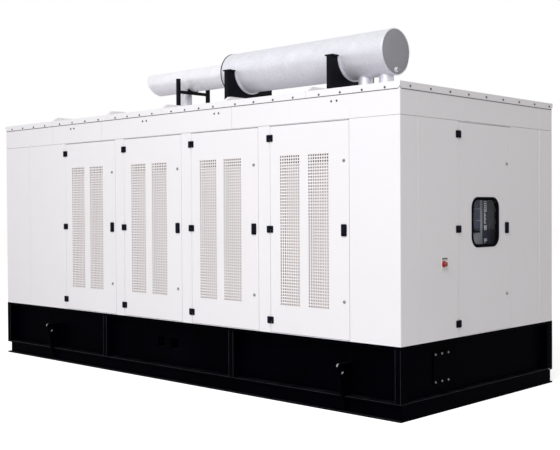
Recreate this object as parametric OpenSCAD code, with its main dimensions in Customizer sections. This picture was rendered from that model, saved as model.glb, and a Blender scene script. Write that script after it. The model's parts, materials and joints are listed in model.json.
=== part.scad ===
// Sound-proofed generator set: a walk-up canopy on a tank base, with a silencer lying on the roof.
// The ground is z = 0. +X points to the control end, -Y to the long side with the hinged doors.

/* [Canopy] */
// Length of the canopy and of the base below it
canopy_l = 5400; // [5200:10:6000]
// Width of the canopy over its long walls
canopy_w = 2270; // [2150:10:2500]
// Height of the roof's top sheet above the ground
roof_z = 2500; // [2450:10:2700]
// Thickness of the lined walls
wall_t = 50; // [40:1:60]
// Open seam between neighbouring panels
seam = 3; // [2:0.5:5]
// Width of a corner panel along a long wall
corner_l = 473; // [400:1:520]
// Width of a corner panel along an end wall
corner_w = 225; // [180:5:260]
// Outside radius of the folded corners
corner_r = 8; // [4:1:14]
// Height of the fascia that runs round above the doors
fascia_h = 246; // [220:1:270]

/* [Roof] */
// Thickness of the roof sheet and of its turned-down flange
roof_t = 4; // [3:0.5:6]
// Depth of the turned-down flange
roof_flange = 52; // [40:1:70]
// Cut at the flange's lower corners, at the corners of the roof
flange_cut = 18; // [10:1:24]
// Height of the ribs that cover the roof seams
rib_h = 40; // [25:1:60]
// Width of the roof ribs
rib_w = 40; // [30:1:60]
// Length of the slope at each end of a roof rib
rib_slope = 56; // [30:1:90]

/* [Doors] */
// Distance between neighbouring long-side door leaves
door_post = 141; // [120:1:160]
// Distance from the radiator end to the first door leaf
door_start = 1152; // [1120:1:1160]
// Running gap round each door leaf
door_gap = 8; // [7.5:0.5:10]
// Width of the door leaf in the control end
end_door_w = 780; // [700:5:800]
// Hinge-side edge of the control-end door, from the middle of the end wall
end_door_side = 370; // [340:5:400]

/* [Vents] */
// Width of one perforation
hole_w = 14; // [10:0.5:16]
// Distance between perforations
hole_pitch = 24.4; // [22:0.1:26]
// Height of the lowest perforation above the ground
vent_z = 791; // [740:1:850]
// Distance from the door's hinge edge to its first vent
vent_start = 112; // [100:1:130]
// Plain strip between the two vents of a door
vent_gap = 97.8; // [80:0.2:120]
// Least plain strip on a door beside its vents, for the handle and locks
handle_strip = 205; // [160:1:240]
// Least plain strip on a door above its vents
vent_head = 240; // [160:1:300]
// Thickness of the perforated sheet
vent_t = 3; // [2:0.5:5]
// Depth of the baffle pan behind the vents
baffle_d = 40; // [30:1:60]

/* [Hinges and handles] */
// Height of a hinge
hinge_h = 57; // [45:1:70]
// Width of a hinge over both plates
hinge_w = 70; // [60:1:80]
// Radius of a hinge knuckle
knuckle_r = 8; // [7:0.5:10]
// Radius of a hinge pin
pin_r = 4; // [3:0.25:5]
// Radial clearance between hinge pin and knuckle
pin_clear = 0.3; // [0.2:0.05:0.5]
// Distance from a door's end to its outer hinges
hinge_inset = 96; // [80:1:140]
// Width of a door handle
handle_w = 52; // [40:1:60]
// Height of a door handle
handle_h = 93; // [80:1:120]
// Distance from a door's free edge to its handle and locks
handle_inset = 54; // [45:1:80]
// Radius of a quarter-turn lock
lock_r = 13; // [10:0.5:18]

/* [Window] */
// Width of the window over its rubber gasket
window_w = 413; // [360:1:450]
// Height of the window over its rubber gasket
window_h = 407; // [360:1:450]
// Height of the window's middle above the ground
window_z = 1455; // [1350:1:1550]
// Outside corner radius of the gasket
window_r = 90; // [70:1:110]
// Face width of the gasket
gasket_w = 24; // [18:1:30]

/* [Base] */
// Height of the base
base_h = 555; // [500:5:600]
// Height of the skid under the base
skid_h = 118; // [100:1:150]
// Depth of the bays in the base's long sides
bay_d = 90; // [60:1:110]
// Thickness of the base's top flange
base_flange = 24; // [16:1:40]
// Thickness of the base's bottom ledge
base_ledge = 14; // [10:1:24]
// Width of the base's corner posts, and depth of the bays in its ends
base_post = 52; // [40:1:90]
// Distance of the stiffeners from the middle of the base
stiffener_x = 900; // [700:10:1100]
// Thickness of the skid's foot flange
foot_t = 12; // [8:1:20]

/* [Lifting lugs] */
// Distance of the lug near the radiator end from the middle
lug_back_x = 1815; // [1700:5:2000]
// Distance of the lug near the control end from the middle
lug_front_x = 2153; // [2000:5:2300]
// Thickness of a lug plate
lug_t = 24; // [18:1:35]
// How far a lug stands out past the base
lug_out = 75; // [60:1:90]
// Height of a lug's top edge above the ground
lug_z = 385; // [350:5:450]
// Radius of the shackle hole
lug_hole_r = 25; // [18:1:28]

/* [Silencer] */
// Height of the silencer's axis above the roof
silencer_up = 450; // [420:1:500]
// Offset of the silencer's axis from the middle of the roof
silencer_y = 50; // [20:5:80]
// Radius of the silencer's body
silencer_r = 204; // [190:1:215]
// End of the silencer's body towards the radiator, from the middle
silencer_back = 258; // [220:2:300]
// End of the silencer's body towards the control end, from the middle
silencer_front = 1784; // [1740:1:1800]
// Depth of the dished head
head_depth = 25; // [15:1:40]
// Radius of the tail pipe
tail_r = 121; // [100:1:130]
// Wall of the tail pipe
tail_wall = 6; // [4:0.5:10]
// End of the tail pipe at its lower edge, from the middle
tail_end = 1456; // [1300:1:1600]
// How far the tail pipe's upper edge overhangs its lower edge
tail_mitre = 134; // [80:1:240]
// Radius of the inlet pipes
inlet_r = 67; // [55:1:70]
// Radius of the riser under the tail pipe
riser_r = 60; // [40:1:62]

/* [Silencer supports] */
// Half width of a saddle
saddle_half = 312; // [290:1:340]
// Thickness of a saddle plate
saddle_t = 50; // [30:1:60]
// Thickness of the band between saddle and silencer
band_t = 18; // [10:1:24]
// Half distance between the posts of the tail pipe's stand
stand_half = 208; // [180:1:240]
// Thickness of the stand's posts
stand_post = 34; // [30:1:50]
// Thickness of the stand's crossbar
stand_bar = 30; // [20:1:40]

/* [Control cabinet] */
// Width of the control cabinet
cabinet_w = 700; // [600:10:720]
// Height of the control cabinet
cabinet_h = 860; // [700:10:900]
// Depth of the control cabinet
cabinet_d = 300; // [220:10:350]
// Height of the cabinet's floor above the ground
cabinet_z = 1010; // [950:10:1100]

/* [Hidden] */
$fn = 64;

// Overrun of every cut past the face that it opens
over = 5;
// Clearance of curved faces that seat on each other
seat = 0.3;

// Paint colours
white_paint = "whitesmoke";
base_paint = "#14151b";
silver_paint = "#b9bbbd";
hardware_black = "#1b1b1d";

// Half sizes of the canopy
half_l = canopy_l / 2;
half_w = canopy_w / 2;
inner_l = half_l - wall_t;
inner_w = half_w - wall_t;
// Underside of the fascias, and their top under the roof sheet
fascia_z = roof_z - fascia_h;
fascia_top = roof_z - roof_t;
// Depth of the shadow line under the fascia
shadow_d = 10;

// Doors on the long sides: the leaves share what the ends and the posts leave of the wall
door_count = 4;
door_w = (canopy_l - door_start - corner_l - door_gap - (door_count - 1) * door_post) / door_count;
door_pitch = door_w + door_post;
door_z0 = base_h + door_gap;
door_z1 = fascia_z - door_gap;
function door_x(i) = door_start + i * door_pitch - half_l;

// Vents: as many perforations as the leaf takes, their field, and the sheet that carries it
vent_room = (door_w - vent_start - vent_gap - handle_strip) / 2;
vent_columns = floor((vent_room - hole_w) / hole_pitch) + 1;
vent_rows = floor((door_z1 - vent_head - vent_z - hole_w) / hole_pitch) + 1;
field_w = (vent_columns - 1) * hole_pitch + hole_w;
field_h = (vent_rows - 1) * hole_pitch + hole_w;
vent_margin = hole_pitch - hole_w;
sheet_w = field_w + vent_margin + vent_margin;
sheet_h = field_h + vent_margin + vent_margin;
vent_pitch = field_w + vent_gap;
vent_starts = [vent_start, vent_start + vent_pitch];
// Slots per row: the front sheets keep a bar at every third column, the hidden ones only the rows
slot_columns = 3;
front_slots = max(1, floor(vent_columns / slot_columns));
rear_slots = 1;
// Baffle pan: sheet, its overlap past the vents, and the open strip along its top
baffle_t = 3;
baffle_lap = 24;
baffle_open = 60;
// Places of the two vents in the radiator end
end_vent_ys = [vent_start - vent_pitch, vent_start];

// Hinges: the axis stands in front of the wall by the knuckle's radius and a running gap
hinge_run = 1;
hinge_plate = 6;
hinge_out = knuckle_r + hinge_run;
hinge_reach = hinge_out + hinge_run;
hinge_zs = [door_z0 + hinge_inset, (door_z0 + door_z1) / 2, door_z1 - hinge_inset];

// Handles and locks
handle_t = 9;
handle_r = 8;
paddle_t = 7;
paddle_wshare = 0.56;
paddle_hshare = 0.62;
handle_z = (door_z0 + door_z1) / 2;
lock_t = 5;
lock_boss_t = 9;
lock_boss_rshare = 0.6;
lock_inset = 298.5;
lock_reach = (door_z1 - door_z0) / 2 - lock_inset;

// Window: opening in the leaf, and the glass held in the gasket
gasket_lip = 6;
gasket_grip = 12;
glass_t = 6;
glass_in = 8;

// Base
tank_l = half_l - base_post;
tank_w = half_w - bay_d;
pocket_w = 96;
pocket_d = 120;
pocket_z = 284;
pocket_pitch = 190;
pocket_xs = [-pocket_pitch, 0];
stiffener_w = 52;
// Skid: rails and end members set in above their foot flange, and I-section crossmembers between
skid_in = 30;
skid_back = 25;
skid_front = 4;
skid_web = 60;
cross_flange = 100;
cross_web = 12;
cross_shares = [-0.66, -0.33, 0, 0.33, 0.66];
// Access cover on the control end of the base
cover_w = 218;
cover_h = 250;
cover_t = 10;
cover_y = -546;
cover_z = 335;

// Lifting lugs
lug_low = 20;
lug_tip_r = 22;
lug_hole_in = 47;
lug_hole_down = 60;
lug_xs = [-lug_back_x, lug_front_x];
lug_tip = bay_d + lug_out;

// Roof
roof_seam_shares = [-0.66, -0.31, 0, 0.31, 0.66];
roof_edges = concat([-half_l - roof_t], [for (s = roof_seam_shares) s * half_l], [half_l + roof_t]);
roof_count = len(roof_edges) - 1;
lining_gap = 4;
// Seams of the long fascias, as shares of the half length
fascia_seam_shares = [-0.66, -0.343, 0.343];

// Silencer
silencer_z = roof_z + silencer_up;
cap_t = 16;
bead = 4;
head_rim = silencer_r - bead;
head_k = (pow(head_rim, 2) - pow(tail_r, 2) - pow(head_depth, 2)) / (head_depth + head_depth);
head_sphere_r = sqrt(pow(head_k, 2) + pow(head_rim, 2));
rim_ring_t = 36;
tail_start = silencer_back + head_depth;
collar_out = 14;
collar_t = 28;
// What stands on the roof keeps clear of the ribs
rib_clear = 5;
inlet_pitch = 233;
inlet_last = roof_seam_shares[4] * half_l - rib_w / 2 - inlet_r - collar_out - rib_clear;
inlet_xs = [inlet_last - inlet_pitch, inlet_last];
riser_pitch = 111;
drain_r = 13;
drain_l = 42;
drain_flange_r = 24;
drain_flange_t = 10;
drain_drop = 160;
saddle_foot_w = 80;
saddle_clear = 53;
saddle_first = -(rib_w + saddle_foot_w) / 2 - rib_clear;
saddle_second = inlet_xs[0] - inlet_r - collar_out - saddle_clear - saddle_foot_w / 2;
saddle_xs = [saddle_first, saddle_second];
saddle_foot_t = 16;
saddle_foot_out = 30;
saddle_cap_w = 90;
saddle_cap_t = 12;
cradle_r = silencer_r + band_t;
band_w = 70;
stand_foot_w = 80;
stand_clear = 11;
stand_x = roof_seam_shares[1] * half_l - (rib_w + stand_foot_w) / 2 - stand_clear;
stand_foot_t = 12;
riser_x = stand_x - riser_pitch;
stand_bar_top = silencer_z - tail_r - seat;

// Control cabinet, behind the door in the control end
cabinet_gap = 70;
cabinet_front = inner_l - cabinet_gap;
cabinet_y = 20;
leg_w = 60;
device_d = 36;
// Devices on the cabinet's front: sideways place, height above its floor, width and height,
// as shares of the cabinet's width and height
device_shares = [
  [-0.043, 0.429, 0.157, 0.1],
  [-0.043, 0.535, 0.157, 0.104],
  [-0.043, 0.645, 0.157, 0.134],
  [0.294, 0.221, 0.2, 0.57]
];
trunking_d = 20;
trunking_shares = [0.186, 0.267, 0.094, 0.535];

// Stop button
stop_y = -573;
stop_z = 1139;
stop_plate_w = 80;
stop_plate_h = 100;
stop_plate_t = 4;
stop_collar_r = 24;
stop_collar_t = 12;
stop_head_r = 20;
stop_head_t = 16;

// Block between two opposite corners
module block(low, high) {
  translate(low) cube(high - low);
}

// A shape and its mirror image on the other long side
module both_sides() {
  children();
  mirror([0, 1, 0]) children();
}

// A shape and its mirror image at the other end
module both_ends() {
  children();
  mirror([1, 0, 0]) children();
}

// Rectangle with rounded corners, about its middle
module rounded(w, h, r) {
  square([w - r - r, h], center = true);
  square([w, h - r - r], center = true);
  for (sx = [-1, 1], sy = [-1, 1]) translate([sx * (w / 2 - r), sy * (h / 2 - r)]) circle(r);
}

// Turns a drawing in the XY plane to stand in the XZ plane, its depth growing towards +Y
module upright() {
  rotate([90, 0, 0]) mirror([0, 0, 1]) children();
}

// Turns a drawing so that its X runs along +Y, its Y along +Z and its depth along +X
module across() {
  rotate([90, 0, 90]) children();
}

// Cylinder along +X
module rod_x(r, l) {
  rotate([0, 90, 0]) cylinder(r = r, h = l);
}

// Skid
module skid_rails() {
  color(base_paint) both_sides() {
    block(
      [skid_back - half_l, skid_in - half_w, 0],
      [half_l - skid_front, skid_in + skid_web - half_w, skid_h]
    );
    block([-half_l, -half_w, 0], [half_l, skid_in + skid_web - half_w, foot_t]);
  }
}

module skid_crossmembers() {
  reach = half_w - skid_in - skid_web;
  color(base_paint) {
    for (s = cross_shares) translate([s * half_l, 0, 0]) {
      block([-cross_flange / 2, -reach, 0], [cross_flange / 2, reach, foot_t]);
      block([-cross_web / 2, -reach, 0], [cross_web / 2, reach, skid_h]);
      block([-cross_flange / 2, -reach, skid_h - foot_t], [cross_flange / 2, reach, skid_h]);
    }
    block([half_l - skid_front - skid_web, -reach, 0], [half_l - skid_front, reach, skid_h]);
    block([half_l - skid_front - skid_web, -reach, 0], [half_l, reach, foot_t]);
    block([skid_back - half_l, -reach, 0], [skid_back + skid_web - half_l, reach, skid_h]);
    block([-half_l, -reach, 0], [skid_back + skid_web - half_l, reach, foot_t]);
  }
}

// Base
module base_tank() {
  color(base_paint) difference() {
    block([-tank_l, -tank_w, skid_h], [tank_l, tank_w, base_h]);
    both_sides() for (x = pocket_xs)
      block([x, -tank_w - over, pocket_z], [x + pocket_w, pocket_d - tank_w, pocket_z + pocket_w]);
  }
}

// Bar round all four sides of the base, filling its bays between two heights
module base_bar(z0, z1) {
  both_sides() block([-half_l, -half_w, z0], [half_l, -tank_w, z1]);
  both_ends() block([tank_l, -tank_w, z0], [half_l, tank_w, z1]);
}

module base_top_flange() {
  color(base_paint) base_bar(base_h - base_flange, base_h);
}

module base_ledge_plate() {
  color(base_paint) base_bar(skid_h, skid_h + base_ledge);
}

module base_posts() {
  z0 = skid_h + base_ledge;
  z1 = base_h - base_flange;
  color(base_paint) both_sides() both_ends() {
    block([tank_l, -half_w, z0], [half_l, -tank_w, z1]);
    block([stiffener_x - stiffener_w / 2, -half_w, z0], [stiffener_x + stiffener_w / 2, -tank_w, z1]);
  }
}

module base_access_cover() {
  color(base_paint) block(
    [tank_l, cover_y - cover_w / 2, cover_z - cover_h / 2],
    [tank_l + cover_t, cover_y + cover_w / 2, cover_z + cover_h / 2]
  );
}

// Lug plate in the plane across the base: y from the bay's back, z from the ground
module lug_plan() {
  difference() {
    union() {
      polygon([
        [0, lug_low],
        [-bay_d, lug_low],
        [-lug_tip, lug_z - lug_tip_r],
        [lug_tip_r - lug_tip, lug_z],
        [0, lug_z]
      ]);
      translate([lug_tip_r - lug_tip, lug_z - lug_tip_r]) circle(lug_tip_r);
    }
    translate([lug_hole_in - lug_tip, lug_z - lug_hole_down]) circle(lug_hole_r);
    translate([-bay_d, skid_h]) square([bay_d + over, base_ledge]);
    translate([skid_in - bay_d, 0]) square([bay_d, skid_h]);
  }
}

module lifting_lugs() {
  color(base_paint) both_sides() for (x = lug_xs)
    translate([x - lug_t / 2, -tank_w, 0]) across() linear_extrude(lug_t) lug_plan();
}

// Canopy walls
module corner_plan() {
  difference() {
    union() {
      translate([half_l - corner_l, -half_w]) square([corner_l, wall_t]);
      translate([inner_l, -half_w]) square([wall_t, corner_w]);
    }
    translate([half_l - corner_r, -half_w]) difference() {
      translate([0, -over]) square([corner_r + over, corner_r + over]);
      translate([0, corner_r]) circle(corner_r);
    }
  }
}

// Shadow line along the lower outer edge of a corner's fascia
module corner_shadow() {
  difference() {
    translate([half_l - corner_l - over, -half_w - over])
      square([corner_l + over + over, corner_w + over + over]);
    translate([half_l - corner_l - over - over, shadow_d - half_w])
      square([corner_l + over + over - shadow_d, corner_w + over + over]);
  }
}

module corner_panels() {
  color(white_paint) both_sides() both_ends()
    translate([0, 0, base_h]) linear_extrude(fascia_z - base_h) corner_plan();
}

module fascia_corners() {
  color(white_paint) both_sides() both_ends() difference() {
    translate([0, 0, fascia_z]) linear_extrude(fascia_top - fascia_z) corner_plan();
    translate([0, 0, fascia_z - over]) linear_extrude(seam + over) corner_shadow();
  }
}

module radiator_side_panels() {
  color(white_paint) both_sides() block(
    [corner_l + seam - half_l, -half_w, base_h],
    [door_x(0) - door_gap, wall_t - half_w, fascia_z]
  );
}

module door_posts() {
  color(white_paint) both_sides() {
    for (i = [1 : door_count - 1]) block(
      [door_x(i - 1) + door_w + door_gap, -half_w, base_h],
      [door_x(i) - door_gap, wall_t - half_w, fascia_z]
    );
  }
}

// Fascia between two places along a long wall, with its shadow line
module fascia(x0, x1) {
  difference() {
    block([x0, -half_w, fascia_z], [x1, wall_t - half_w, fascia_top]);
    block([x0 - over, -half_w - over, fascia_z - over], [x1 + over, shadow_d - half_w, fascia_z + seam]);
  }
}

module long_fascias() {
  ends = concat([corner_l - half_l], [for (s = fascia_seam_shares) s * half_l], [half_l - corner_l]);
  color(white_paint) both_sides() for (i = [0 : len(ends) - 2]) fascia(ends[i] + seam, ends[i + 1]);
}

module end_fascias() {
  reach = half_w - corner_w - seam;
  color(white_paint) both_ends() difference() {
    block([inner_l, -reach, fascia_z], [half_l, reach, fascia_top]);
    block([half_l - shadow_d, -half_w, fascia_z - over], [half_l + over, half_w, fascia_z + seam]);
  }
}

module control_end_panels() {
  color(white_paint) {
    block(
      [inner_l, corner_w + seam - half_w, base_h],
      [half_l, -end_door_side - door_gap, fascia_z]
    );
    block(
      [inner_l, end_door_w + door_gap - end_door_side, base_h],
      [half_l, half_w - corner_w - seam, fascia_z]
    );
  }
}

module radiator_end_panel() {
  reach = half_w - corner_w - seam;
  color(white_paint) difference() {
    block([-half_l, -reach, base_h], [-inner_l, reach, fascia_z]);
    for (y = end_vent_ys) block(
      [-half_l - over, y - vent_margin, vent_z - vent_margin],
      [over - inner_l, y - vent_margin + sheet_w, vent_z - vent_margin + sheet_h]
    );
  }
}

// Perforated sheet in the XZ plane, its outer face at y = 0
module vent_sheet(slots) {
  per_slot = vent_columns / slots;
  slot_w = (per_slot - 1) * hole_pitch + hole_w;
  upright() linear_extrude(vent_t) difference() {
    square([sheet_w, sheet_h]);
    for (row = [0 : vent_rows - 1], s = [0 : slots - 1])
      translate([vent_margin + s * per_slot * hole_pitch, vent_margin + row * hole_pitch])
        square([slot_w, hole_w]);
  }
}

// The two perforated sheets of a long-side door, from the door's hinge edge
module door_sheets(slots) {
  for (x = vent_starts) translate([x - vent_margin, 0, vent_z - vent_margin]) vent_sheet(slots);
}

// Leaf of a long-side door with its vent openings and baffle pan, from its hinge edge
module vented_leaf() {
  pan_low = [vent_start - baffle_lap, wall_t, vent_z - baffle_lap];
  pan_w = vent_pitch + field_w + baffle_lap + baffle_lap;
  pan_h = field_h + baffle_lap - baffle_open;
  difference() {
    block([0, 0, door_z0], [door_w, wall_t, door_z1]);
    for (x = vent_starts) block(
      [x - vent_margin, -over, vent_z - vent_margin],
      [x - vent_margin + sheet_w, wall_t + over, vent_z - vent_margin + sheet_h]
    );
  }
  translate(pan_low) difference() {
    cube([pan_w, baffle_d, pan_h]);
    block([baffle_t, -over, baffle_t], [pan_w - baffle_t, baffle_d - baffle_t, pan_h + over]);
  }
}

module rear_doors() {
  color(white_paint) mirror([0, 1, 0]) for (i = [0 : door_count - 1])
    translate([door_x(i), -half_w, 0]) vented_leaf();
}

module rear_vents() {
  color(white_paint) mirror([0, 1, 0]) for (i = [0 : door_count - 1])
    translate([door_x(i), -half_w, 0]) door_sheets(rear_slots);
}

module radiator_end_vents() {
  color(white_paint) for (y = end_vent_ys)
    translate([-half_l, y - vent_margin + sheet_w, vent_z - vent_margin]) rotate([0, 0, -90])
      vent_sheet(rear_slots);
}

// Hinge halves, with the axis at the origin and the wall's face at y = hinge_out
module frame_hinge() {
  block([-hinge_w / 2, hinge_out - hinge_plate, -hinge_h / 2], [-hinge_reach, hinge_out, hinge_h / 2]);
  block([-hinge_reach, hinge_out - hinge_plate, -hinge_h / 2], [0, hinge_out, -hinge_run / 2]);
  translate([0, 0, -hinge_h / 2]) cylinder(r = knuckle_r, h = (hinge_h - hinge_run) / 2);
  translate([0, 0, -hinge_h / 2]) cylinder(r = pin_r, h = hinge_h);
}

module leaf_hinge() {
  difference() {
    union() {
      block([hinge_reach, hinge_out - hinge_plate, -hinge_h / 2], [hinge_w / 2, hinge_out, hinge_h / 2]);
      block([0, hinge_out - hinge_plate, hinge_run / 2], [hinge_reach, hinge_out, hinge_h / 2]);
      translate([0, 0, hinge_run / 2]) cylinder(r = knuckle_r, h = (hinge_h - hinge_run) / 2);
    }
    translate([0, 0, -hinge_h]) cylinder(r = pin_r + pin_clear, h = hinge_h + hinge_h);
  }
}

// Where the hinges of one door stand, from its hinge edge in the XZ plane
module at_hinges() {
  for (z = hinge_zs) translate([-door_gap / 2, -hinge_out, z]) children();
}

// Handle and locks of a door of width w, on the wall's face at y = 0
module handle_and_locks(w) {
  translate([w - handle_inset, 0, handle_z]) {
    translate([0, -handle_t, 0]) upright() linear_extrude(handle_t) rounded(handle_w, handle_h, handle_r);
    translate([0, -handle_t - paddle_t, 0]) upright() linear_extrude(paddle_t)
      rounded(handle_w * paddle_wshare, handle_h * paddle_hshare, handle_r);
    for (side = [-1, 1]) translate([0, 0, side * lock_reach]) rotate([90, 0, 0]) {
      cylinder(r = lock_r, h = lock_t);
      cylinder(r = lock_r * lock_boss_rshare, h = lock_boss_t);
    }
  }
}

module rear_hardware() {
  color(hardware_black) mirror([0, 1, 0]) for (i = [0 : door_count - 1])
    translate([door_x(i), -half_w, 0]) {
      at_hinges() frame_hinge();
      at_hinges() leaf_hinge();
      handle_and_locks(door_w);
    }
}

// Places a door drawn in the XZ plane in the control end, its hinge edge towards -Y
module in_control_end() {
  translate([half_l, -end_door_side, 0]) rotate([0, 0, 90]) children();
}

module frame_hinges() {
  color(hardware_black) {
    for (i = [0 : door_count - 1]) translate([door_x(i), -half_w, 0]) at_hinges() frame_hinge();
    in_control_end() at_hinges() frame_hinge();
  }
}

// Roof
module flange_corner(x) {
  translate([x, roof_z - roof_flange]) rotate(45) square(flange_cut * sqrt(2), center = true);
}

// Turned-down flange between two places, its lower corners cut where a flag is set
module flange_plan(x0, x1, cut_first, cut_last) {
  difference() {
    translate([x0, roof_z - roof_flange]) square([x1 - x0, roof_flange]);
    if (cut_first) flange_corner(x0);
    if (cut_last) flange_corner(x1);
  }
}

module roof_panel(i) {
  x0 = roof_edges[i] + (i > 0 ? seam / 2 : 0);
  x1 = roof_edges[i + 1] - (i < roof_count - 1 ? seam / 2 : 0);
  block([x0, -half_w - roof_t, roof_z - roof_t], [x1, half_w + roof_t, roof_z]);
  block(
    [max(x0, lining_gap - inner_l), lining_gap - inner_w, roof_z - roof_flange],
    [min(x1, inner_l - lining_gap), inner_w - lining_gap, roof_z]
  );
  both_sides() translate([0, -half_w - roof_t, 0]) upright() linear_extrude(roof_t)
    flange_plan(x0, x1, i == 0, i == roof_count - 1);
}

module roof_panels() {
  color(white_paint) {
    for (i = [0 : roof_count - 1]) roof_panel(i);
    both_ends() translate([half_l, 0, 0]) across() linear_extrude(roof_t)
      flange_plan(-half_w - roof_t, half_w + roof_t, true, true);
  }
}

module roof_ribs() {
  color(white_paint) for (s = roof_seam_shares)
    translate([s * half_l - rib_w / 2, 0, roof_z]) across() linear_extrude(rib_w) polygon([
      [-half_w, 0],
      [half_w, 0],
      [half_w - rib_slope, rib_h],
      [rib_slope - half_w, rib_h]
    ]);
}

// Silencer, its axis along X
module on_axis(x) {
  translate([x, silencer_y, silencer_z]) children();
}

module silencer_body() {
  color(silver_paint) {
    on_axis(-silencer_back) rod_x(silencer_r, silencer_back + silencer_front - cap_t);
    on_axis(-silencer_back) rod_x(silencer_r + bead, rim_ring_t);
    intersection() {
      on_axis(head_k - silencer_back) sphere(r = head_sphere_r);
      on_axis(-tail_start) rod_x(silencer_r, head_depth + over);
    }
  }
}

module silencer_end_cap() {
  color(silver_paint) {
    on_axis(silencer_front - cap_t) rod_x(silencer_r, cap_t);
    on_axis(silencer_front - cap_t) rod_x(silencer_r + bead, cap_t / 2);
    translate([0, 0, -drain_drop]) {
      on_axis(silencer_front) rod_x(drain_flange_r, drain_flange_t);
      on_axis(silencer_front) rod_x(drain_r, drain_l);
    }
  }
}

module tail_pipe() {
  reach = tail_end + tail_mitre;
  color(silver_paint) difference() {
    on_axis(-reach) rod_x(tail_r, reach - tail_start);
    on_axis(-reach - over) rod_x(tail_r - tail_wall, reach - tail_start + over + over);
    translate([0, silencer_y + tail_r + over, silencer_z - tail_r]) upright() mirror([0, 0, 1])
      linear_extrude(tail_r + tail_r + over + over) polygon([
        [-tail_end, 0],
        [-reach, tail_r + tail_r],
        [-reach - over, tail_r + tail_r],
        [-reach - over, -over],
        [-tail_end, -over]
      ]);
  }
}

// Upright pipe from the roof to the underside of a round body on the silencer's axis
module roof_pipe(x, r, body_r) {
  difference() {
    translate([x, silencer_y, roof_z]) union() {
      cylinder(r = r, h = silencer_z - roof_z);
      cylinder(r = r + collar_out, h = collar_t);
    }
    on_axis(x - r - over) rod_x(body_r + seat, r + r + over + over);
  }
}

module tail_riser() {
  color(silver_paint) roof_pipe(riser_x, riser_r, tail_r);
}

module inlet_pipes() {
  color(silver_paint) for (x = inlet_xs) roof_pipe(x, inlet_r, silencer_r);
}

module saddle_plan() {
  difference() {
    union() {
      translate([-saddle_half, roof_z]) square([saddle_half + saddle_half, silencer_z - roof_z]);
      translate([-saddle_half - saddle_foot_out, roof_z])
        square([saddle_half + saddle_half + saddle_foot_out + saddle_foot_out, saddle_foot_t]);
    }
    translate([0, silencer_z]) circle(cradle_r);
  }
}

module silencer_saddles() {
  color(base_paint) for (x = saddle_xs) translate([x, silencer_y, 0]) {
    translate([-saddle_t / 2, 0, 0]) across() linear_extrude(saddle_t) saddle_plan();
    block(
      [-saddle_foot_w / 2, -saddle_half - saddle_foot_out, roof_z],
      [saddle_foot_w / 2, saddle_half + saddle_foot_out, roof_z + saddle_foot_t]
    );
    both_sides() block(
      [-saddle_cap_w / 2, -saddle_half, silencer_z - saddle_cap_t],
      [saddle_cap_w / 2, -cradle_r, silencer_z]
    );
  }
}

module saddle_bands() {
  color(silver_paint) for (x = saddle_xs) translate([x - band_w / 2, silencer_y, silencer_z]) across()
    linear_extrude(band_w) difference() {
      circle(cradle_r - seat);
      circle(silencer_r + seat);
      translate([-cradle_r - over, 0]) square([cradle_r + cradle_r + over + over, cradle_r + over]);
    }
}

module tail_pipe_stand() {
  color(base_paint) translate([stand_x, silencer_y, 0]) {
    both_sides() {
      block(
        [-stand_post / 2, stand_half - stand_post / 2, roof_z],
        [stand_post / 2, stand_half + stand_post / 2, silencer_z]
      );
      block(
        [-stand_foot_w / 2, stand_half - stand_foot_w / 2, roof_z],
        [stand_foot_w / 2, stand_half + stand_foot_w / 2, roof_z + stand_foot_t]
      );
    }
    block(
      [-stand_post / 2, -stand_half, stand_bar_top - stand_bar],
      [stand_post / 2, stand_half, stand_bar_top]
    );
  }
}

// Control cabinet behind the door in the control end, on two legs
module control_cabinet() {
  color("gainsboro") translate([cabinet_front - cabinet_d, cabinet_y - cabinet_w / 2, 0]) {
    block([0, 0, cabinet_z], [cabinet_d, cabinet_w, cabinet_z + cabinet_h]);
    for (y = [0, cabinet_w - leg_w]) block([0, y, base_h], [leg_w, y + leg_w, cabinet_z]);
  }
}

// Box on the cabinet's front, from a row of shares
module device(shares, depth) {
  translate([cabinet_front, cabinet_y + shares[0] * cabinet_w, cabinet_z + shares[1] * cabinet_h])
    cube([depth, shares[2] * cabinet_w, shares[3] * cabinet_h]);
}

module control_devices() {
  color("dimgray") {
    for (d = device_shares) device(d, device_d);
    device(trunking_shares, trunking_d);
  }
}

module stop_button_plate() {
  color("gainsboro") block(
    [half_l, stop_y - stop_plate_w / 2, stop_z - stop_plate_h / 2],
    [half_l + stop_plate_t, stop_y + stop_plate_w / 2, stop_z + stop_plate_h / 2]
  );
}

module stop_button() {
  color("red") translate([half_l + stop_plate_t, stop_y, stop_z]) {
    rod_x(stop_collar_r, stop_collar_t);
    translate([stop_collar_t, 0, 0]) rod_x(stop_head_r, stop_head_t);
  }
}

// Hinged doors on the long side
module door_leaf(i) {
  color(white_paint) translate([door_x(i), -half_w, 0]) vented_leaf();
}

module door_vents(i) {
  color(white_paint) translate([door_x(i), -half_w, 0]) door_sheets(front_slots);
}

module door_hardware(i) {
  color(hardware_black) translate([door_x(i), -half_w, 0]) {
    at_hinges() leaf_hinge();
    handle_and_locks(door_w);
  }
}

// Hinged door in the control end, with its window
module window_plan(inset) {
  rounded(window_w - inset - inset, window_h - inset - inset, window_r - inset);
}

// Places a drawing about the window's middle, its depth growing into the leaf from depth y
module at_window(y) {
  in_control_end() translate([end_door_w / 2, y, window_z]) upright() children();
}

module end_door_leaf() {
  color(white_paint) difference() {
    in_control_end() block([0, 0, door_z0], [end_door_w, wall_t, door_z1]);
    at_window(-over) linear_extrude(wall_t + over + over) window_plan(gasket_grip);
  }
}

module window_gasket() {
  color(hardware_black) difference() {
    union() {
      at_window(-gasket_lip) linear_extrude(gasket_lip) window_plan(0);
      at_window(-gasket_lip) linear_extrude(gasket_lip + wall_t) window_plan(gasket_grip + seat);
    }
    at_window(-gasket_lip - over) linear_extrude(gasket_lip + wall_t + over + over) window_plan(gasket_w);
  }
}

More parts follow.
